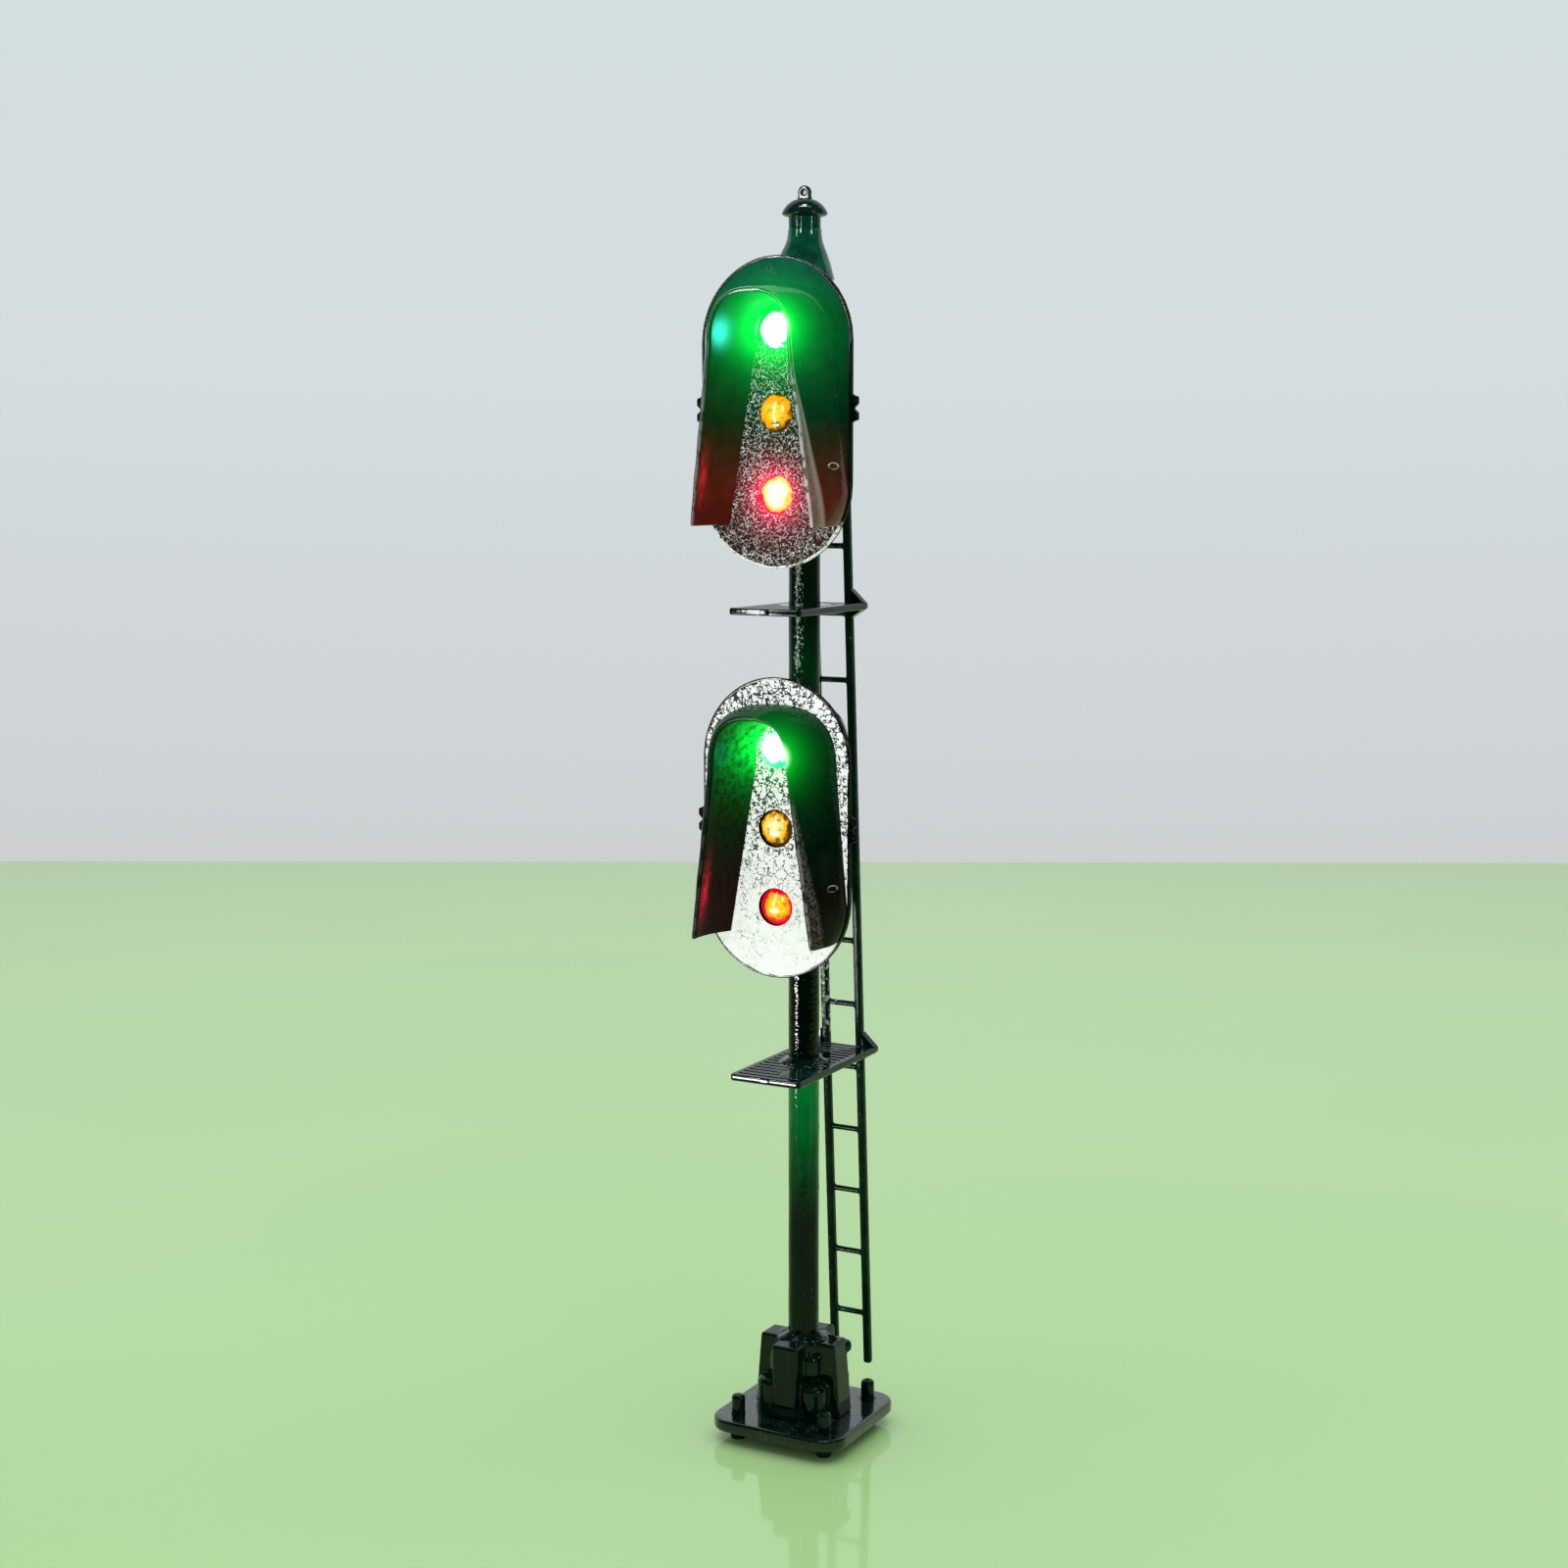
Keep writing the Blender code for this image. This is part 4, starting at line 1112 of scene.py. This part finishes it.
def mast():
    """The mast: a drawn tube whose thick paint is slightly uneven, open down its bore."""
    low, high = box_mm("mast_tube")
    steps, count = 72, 420
    rings = []
    for i in range(count + 1):
        z = low.z + (high.z - low.z) * i / count
        ring = []
        for x, y in circle(1.0, steps):
            wave = lump(x * 1.1, y * 1.1, z * 0.35, 0.022)
            wave += lump(x * 3.0, y * 3.0, z * 1.3 + 50, 0.006)
            wave += lump(x * 2.0, y * 2.0, z * 2.4 + 90, 0.007)
            radius = MAST_RADIUS - 0.008 + wave
            ring.append(Vector((x * radius, y * radius, z)))
        rings.append(ring)
    for z in (high.z, (high.z + low.z) / 2, low.z):
        rings.append([Vector((x, y, z)) for x, y in circle(MAST_BORE, steps)])
    obj = shade(loft("mast_painted", rings, closed=True), 60)
    return place(obj, "stand", "painted_mast", mast_material(), "mast_tube")


# The glue's fillet from its foot to the tube: how far out it is and how high, both 0 to 1.
GLUE_PROFILE = ((1.0, -0.08), (1.0, 0.02), (0.86, 0.22), (0.6, 0.4), (0.32, 0.66), (0.1, 0.9),
                (0.0, 1.0), (-0.12, 0.9), (-0.12, -0.08))


def glue_ring(name, z, outer, rise, seed, mat):
    """Set glue that has crept round the mast: a lumpy fillet from a flat face to the tube."""
    rings = []
    for out, up in GLUE_PROFILE:
        ring = []
        for x, y in circle(1.0, 64):
            coarse = lump(x * 1.6 + seed, y * 1.6, up * 0.5)
            fine = lump(x * 4.0 + seed, y * 4.0, up * 2.0, 0.25)
            reach = MAST_RADIUS + (outer - MAST_RADIUS) * out * (1.0 + 0.5 * coarse + 0.3 * fine)
            if out < 0:
                reach = MAST_RADIUS + out
            height = z + rise * up * (1.0 + 0.45 * coarse * (1 if up > 0 else 0))
            ring.append(Vector((x * reach, y * reach, height)))
        rings.append(ring)
    obj = shade(loft(name, rings, closed=True), 80)
    return place(obj, "stand", "painted_casting", mat)


def paint_pool(mat):
    """Paint that has filled the slots at the platform's front right corner, level and glossy."""
    centre_x, centre_y, half_x, half_y = 1.65, -3.75, 1.30, 2.0
    right_edge, front_edge = 2.85, -6.2
    squareness = 0.75  # 1 gives an ellipse, less a squarer outline
    rings = []
    for size, up in ((1.0, -0.30), (1.0, -0.01), (0.93, 0.015), (0.8, 0.03), (0.4, 0.035),
                     (0.02, 0.035)):
        ring = []
        for x, y in circle(1.0, 56):
            spread = size * (1 + lump(x * 1.3, y * 1.3, 4.0, 0.22))
            px = centre_x + half_x * spread * math.copysign(abs(x) ** squareness, x)
            py = centre_y + half_y * spread * math.copysign(abs(y) ** squareness, y)
            ring.append(Vector((min(px, right_edge), max(py, front_edge), LOWER_TREAD + up)))
        rings.append(ring)
    obj = shade(loft("lower_platform_paint_pool", rings), 60)
    return place(obj, "stand", "painted_mast", mat)


def build_stand():
    plate = casting_material("plate_paint", 0.006, 1.42, specular=0.2)
    casting = casting_material("casting_paint", 0.012, 1.36)
    moulded("base_plate", "painted_casting", plate, 0.09, keep=0.6)
    for corner in PIN_CORNERS:
        moulded(f"anchor_pin_{corner}", "painted_casting", casting, 0.05)
    moulded("mast_pedestal", "painted_casting", casting, 0.07, swell=0.08, keep=0.6)
    mast()
    repaint("lead_bundle", lead_material())
    cap = gloss_paint("cap_paint", srgb(6, 26, 22), srgb(12, 48, 40), (0.10, 0.22), 0.012,
                      coat_ior=1.36).mat
    moulded("finial_cap", "painted_mast", cap, 0.04)
    platform = gloss_paint("platform_paint", srgb(4, 14, 10), srgb(10, 32, 25), (0.10, 0.26),
                           0.004, dust=0.5, coat_ior=1.36).mat
    for level in HEADS:
        crisp(f"{level}_platform", "painted_mast", platform)
    moulded("ladder", "painted_mast", ladder_material(), 0.07, swell=0.09, keep=0.6)
    pedestal_top = box_mm("mast_pedestal")[1].z
    glue_ring("pedestal_glue", pedestal_top - 0.02, 2.1, 0.55, 2.0, casting)
    glue_ring("lower_platform_glue", LOWER_TREAD, 1.9, 0.4, 9.0, platform)
    pool = gloss_paint("pool_paint", srgb(3, 30, 24), srgb(6, 58, 46), (0.06, 0.14), 0.006,
                       dust=0.5, coat_ior=1.2).mat
    paint_pool(pool)


# ---------------------------------------------------------------- stage, lights, camera

VIEW_AZIMUTH = math.radians(28.0)
STAGE_HALF_WIDTH = 0.9
STAGE_FRONT = -0.6
BACKDROP_DISTANCE = 0.288
BACKDROP_HEIGHT = 0.7
# The floor in front of the object ends its reflections here, so upright faces reflect the dark.
FLOOR_FRONT = -0.068


def stage_sheet(name, points, mat):
    """A rectangle of the set, square to the view."""
    mesh = bpy.data.meshes.new(name)
    mesh.from_pydata(points, [], [(0, 1, 2, 3)])
    mesh.materials.append(mat)
    obj = link_object(name, mesh)
    obj.rotation_euler.z = VIEW_AZIMUTH
    return obj


def floor():
    surface = Surface("floor_gloss", roughness=0.07)
    surface.feed(surface.ramp(surface.noise(0.006, 2.0), (0.3, srgb(172, 214, 139)),
                              (0.7, srgb(182, 219, 152))), "Base Color")
    surface.bump(surface.noise(0.04, 2.0, 0.4), 0.03)
    side = STAGE_HALF_WIDTH
    for name, front, rear in (("floor", FLOOR_FRONT, BACKDROP_DISTANCE),
                              ("floor_front", STAGE_FRONT, FLOOR_FRONT)):
        points = [(-side, front, 0), (side, front, 0), (side, rear, 0), (-side, rear, 0)]
        obj = stage_sheet(name, points, surface.mat)
        obj.visible_glossy = name == "floor"


def backdrop():
    surface = Surface("backdrop_paper", roughness=0.9)
    colour = surface.ramp(surface.span(surface.axes()[2], 0.0, 200.0), (0.0, srgb(206, 207, 210)),
                          (0.5, srgb(212, 219, 223)), (1.0, srgb(209, 220, 222)))
    surface.feed(surface.scaled(colour, 0.12), "Base Color")
    surface.emit(surface.scaled(colour, 0.92))
    side, back, top, bottom = STAGE_HALF_WIDTH, BACKDROP_DISTANCE, BACKDROP_HEIGHT, -0.01
    stage_sheet("backdrop", [(-side, back, bottom), (side, back, bottom), (side, back, top),
                             (-side, back, top)], surface.mat)


def world():
    """Soft pale light from all round, which gloss sees as a dark room."""
    scene = bpy.context.scene
    scene.world = bpy.data.worlds.new("studio")
    scene.world.use_nodes = True
    tree = scene.world.node_tree
    background = tree.nodes["Background"]
    path = tree.nodes.new("ShaderNodeLightPath")
    mix = tree.nodes.new("ShaderNodeMix")
    mix.data_type = "RGBA"
    ambient, reflected = [s for s in mix.inputs if s.type == "RGBA"]
    ambient.default_value = (0.50, 0.54, 0.56, 1.0)
    reflected.default_value = (0.03, 0.045, 0.04, 1.0)
    tree.links.new(path.outputs["Is Glossy Ray"], mix.inputs[0])
    tree.links.new([s for s in mix.outputs if s.type == "RGBA"][0], background.inputs["Color"])
    background.inputs["Strength"].default_value = 1.0


def around(azimuth, distance, height):
    """A point at an angle round the mast from the front, positive towards +X."""
    angle = math.radians(azimuth)
    return Vector((distance * math.sin(angle), -distance * math.cos(angle), height))


def soft_box(name, location, target, width, height, radiance, diffuse=False, glossy=True):
    light = bpy.data.lights.new(name, "AREA")
    light.shape = "RECTANGLE"
    light.size, light.size_y = width, height
    light.energy = radiance * math.pi * width * height
    obj = link_object(name, light)
    obj.location = location
    obj.rotation_euler = (target - location).to_track_quat("-Z", "Y").to_euler()
    obj.visible_camera = False
    obj.visible_diffuse = diffuse
    obj.visible_glossy = glossy
    return obj


def keep_off(light, names):
    """Leave the named pieces out of what a light reaches."""
    group = bpy.data.collections.new(f"{light.name}_receivers")
    for name in names:
        group.objects.link(bpy.data.objects[name])
    light.light_linking.receiver_collection = group
    for item in group.collection_objects:
        item.light_linking.link_state = "EXCLUDE"


FLOORS = ("floor", "floor_front")
FOOT_PIECES = ("base_plate_skin", "mast_pedestal_skin", "pedestal_glue",
               *(f"anchor_pin_{corner}_skin" for corner in PIN_CORNERS))


def lights():
    """One wide light from above, and narrow ones that only gloss shows."""
    middle, head_height = Vector((0, 0, 0.05)), Vector((0, 0, 0.09))
    soft_box("overhead", Vector((0.0, 0.02, 0.42)), middle, 0.6, 0.5, 1.35, diffuse=True,
             glossy=False)
    card = soft_box("low_card", around(-28, 0.11, 0.009), Vector((0, 0, 0.009)), 0.040, 0.014,
                    62.0)
    keep_off(card, (*FLOORS, *FOOT_PIECES))
    strip = soft_box("high_strip", around(-28, 0.11, 0.092), Vector((0, 0, 0.092)), 0.005, 0.120,
                     36.0)
    keep_off(strip, (*FLOORS, *FOOT_PIECES, "ladder_skin"))
    top = soft_box("top_strip", Vector((0.02, -0.04, 0.36)), middle, 0.16, 0.012, 30.0)
    keep_off(top, FLOORS)
    front = soft_box("front_window", around(0, 0.26, 0.15), head_height, 0.02, 0.07, 24.0)
    keep_off(front, (*FLOORS, *FOOT_PIECES))
    right = soft_box("right_window", around(76, 0.26, 0.15), head_height, 0.02, 0.07, 24.0)
    keep_off(right, FLOORS)


CAMERA_PLACE = (0.0893, -0.1679, 0.0785)
CAMERA_DOWN, CAMERA_TURN = 7.47, 28.49  # degrees


def camera():
    data = bpy.data.cameras.new("camera")
    data.sensor_width = 36.0
    data.lens = 55.43
    data.clip_start = 0.005
    data.clip_end = 10.0
    obj = link_object("camera", data)
    obj.location = CAMERA_PLACE
    obj.rotation_euler = (math.radians(90 - CAMERA_DOWN), 0.0, math.radians(CAMERA_TURN))
    bpy.context.scene.camera = obj


def main():
    build_stand()
    for head in HEADS:
        build_head(head)
    floor()
    backdrop()
    world()
    lights()
    camera()
    bpy.context.scene.view_settings.view_transform = "Standard"


main()
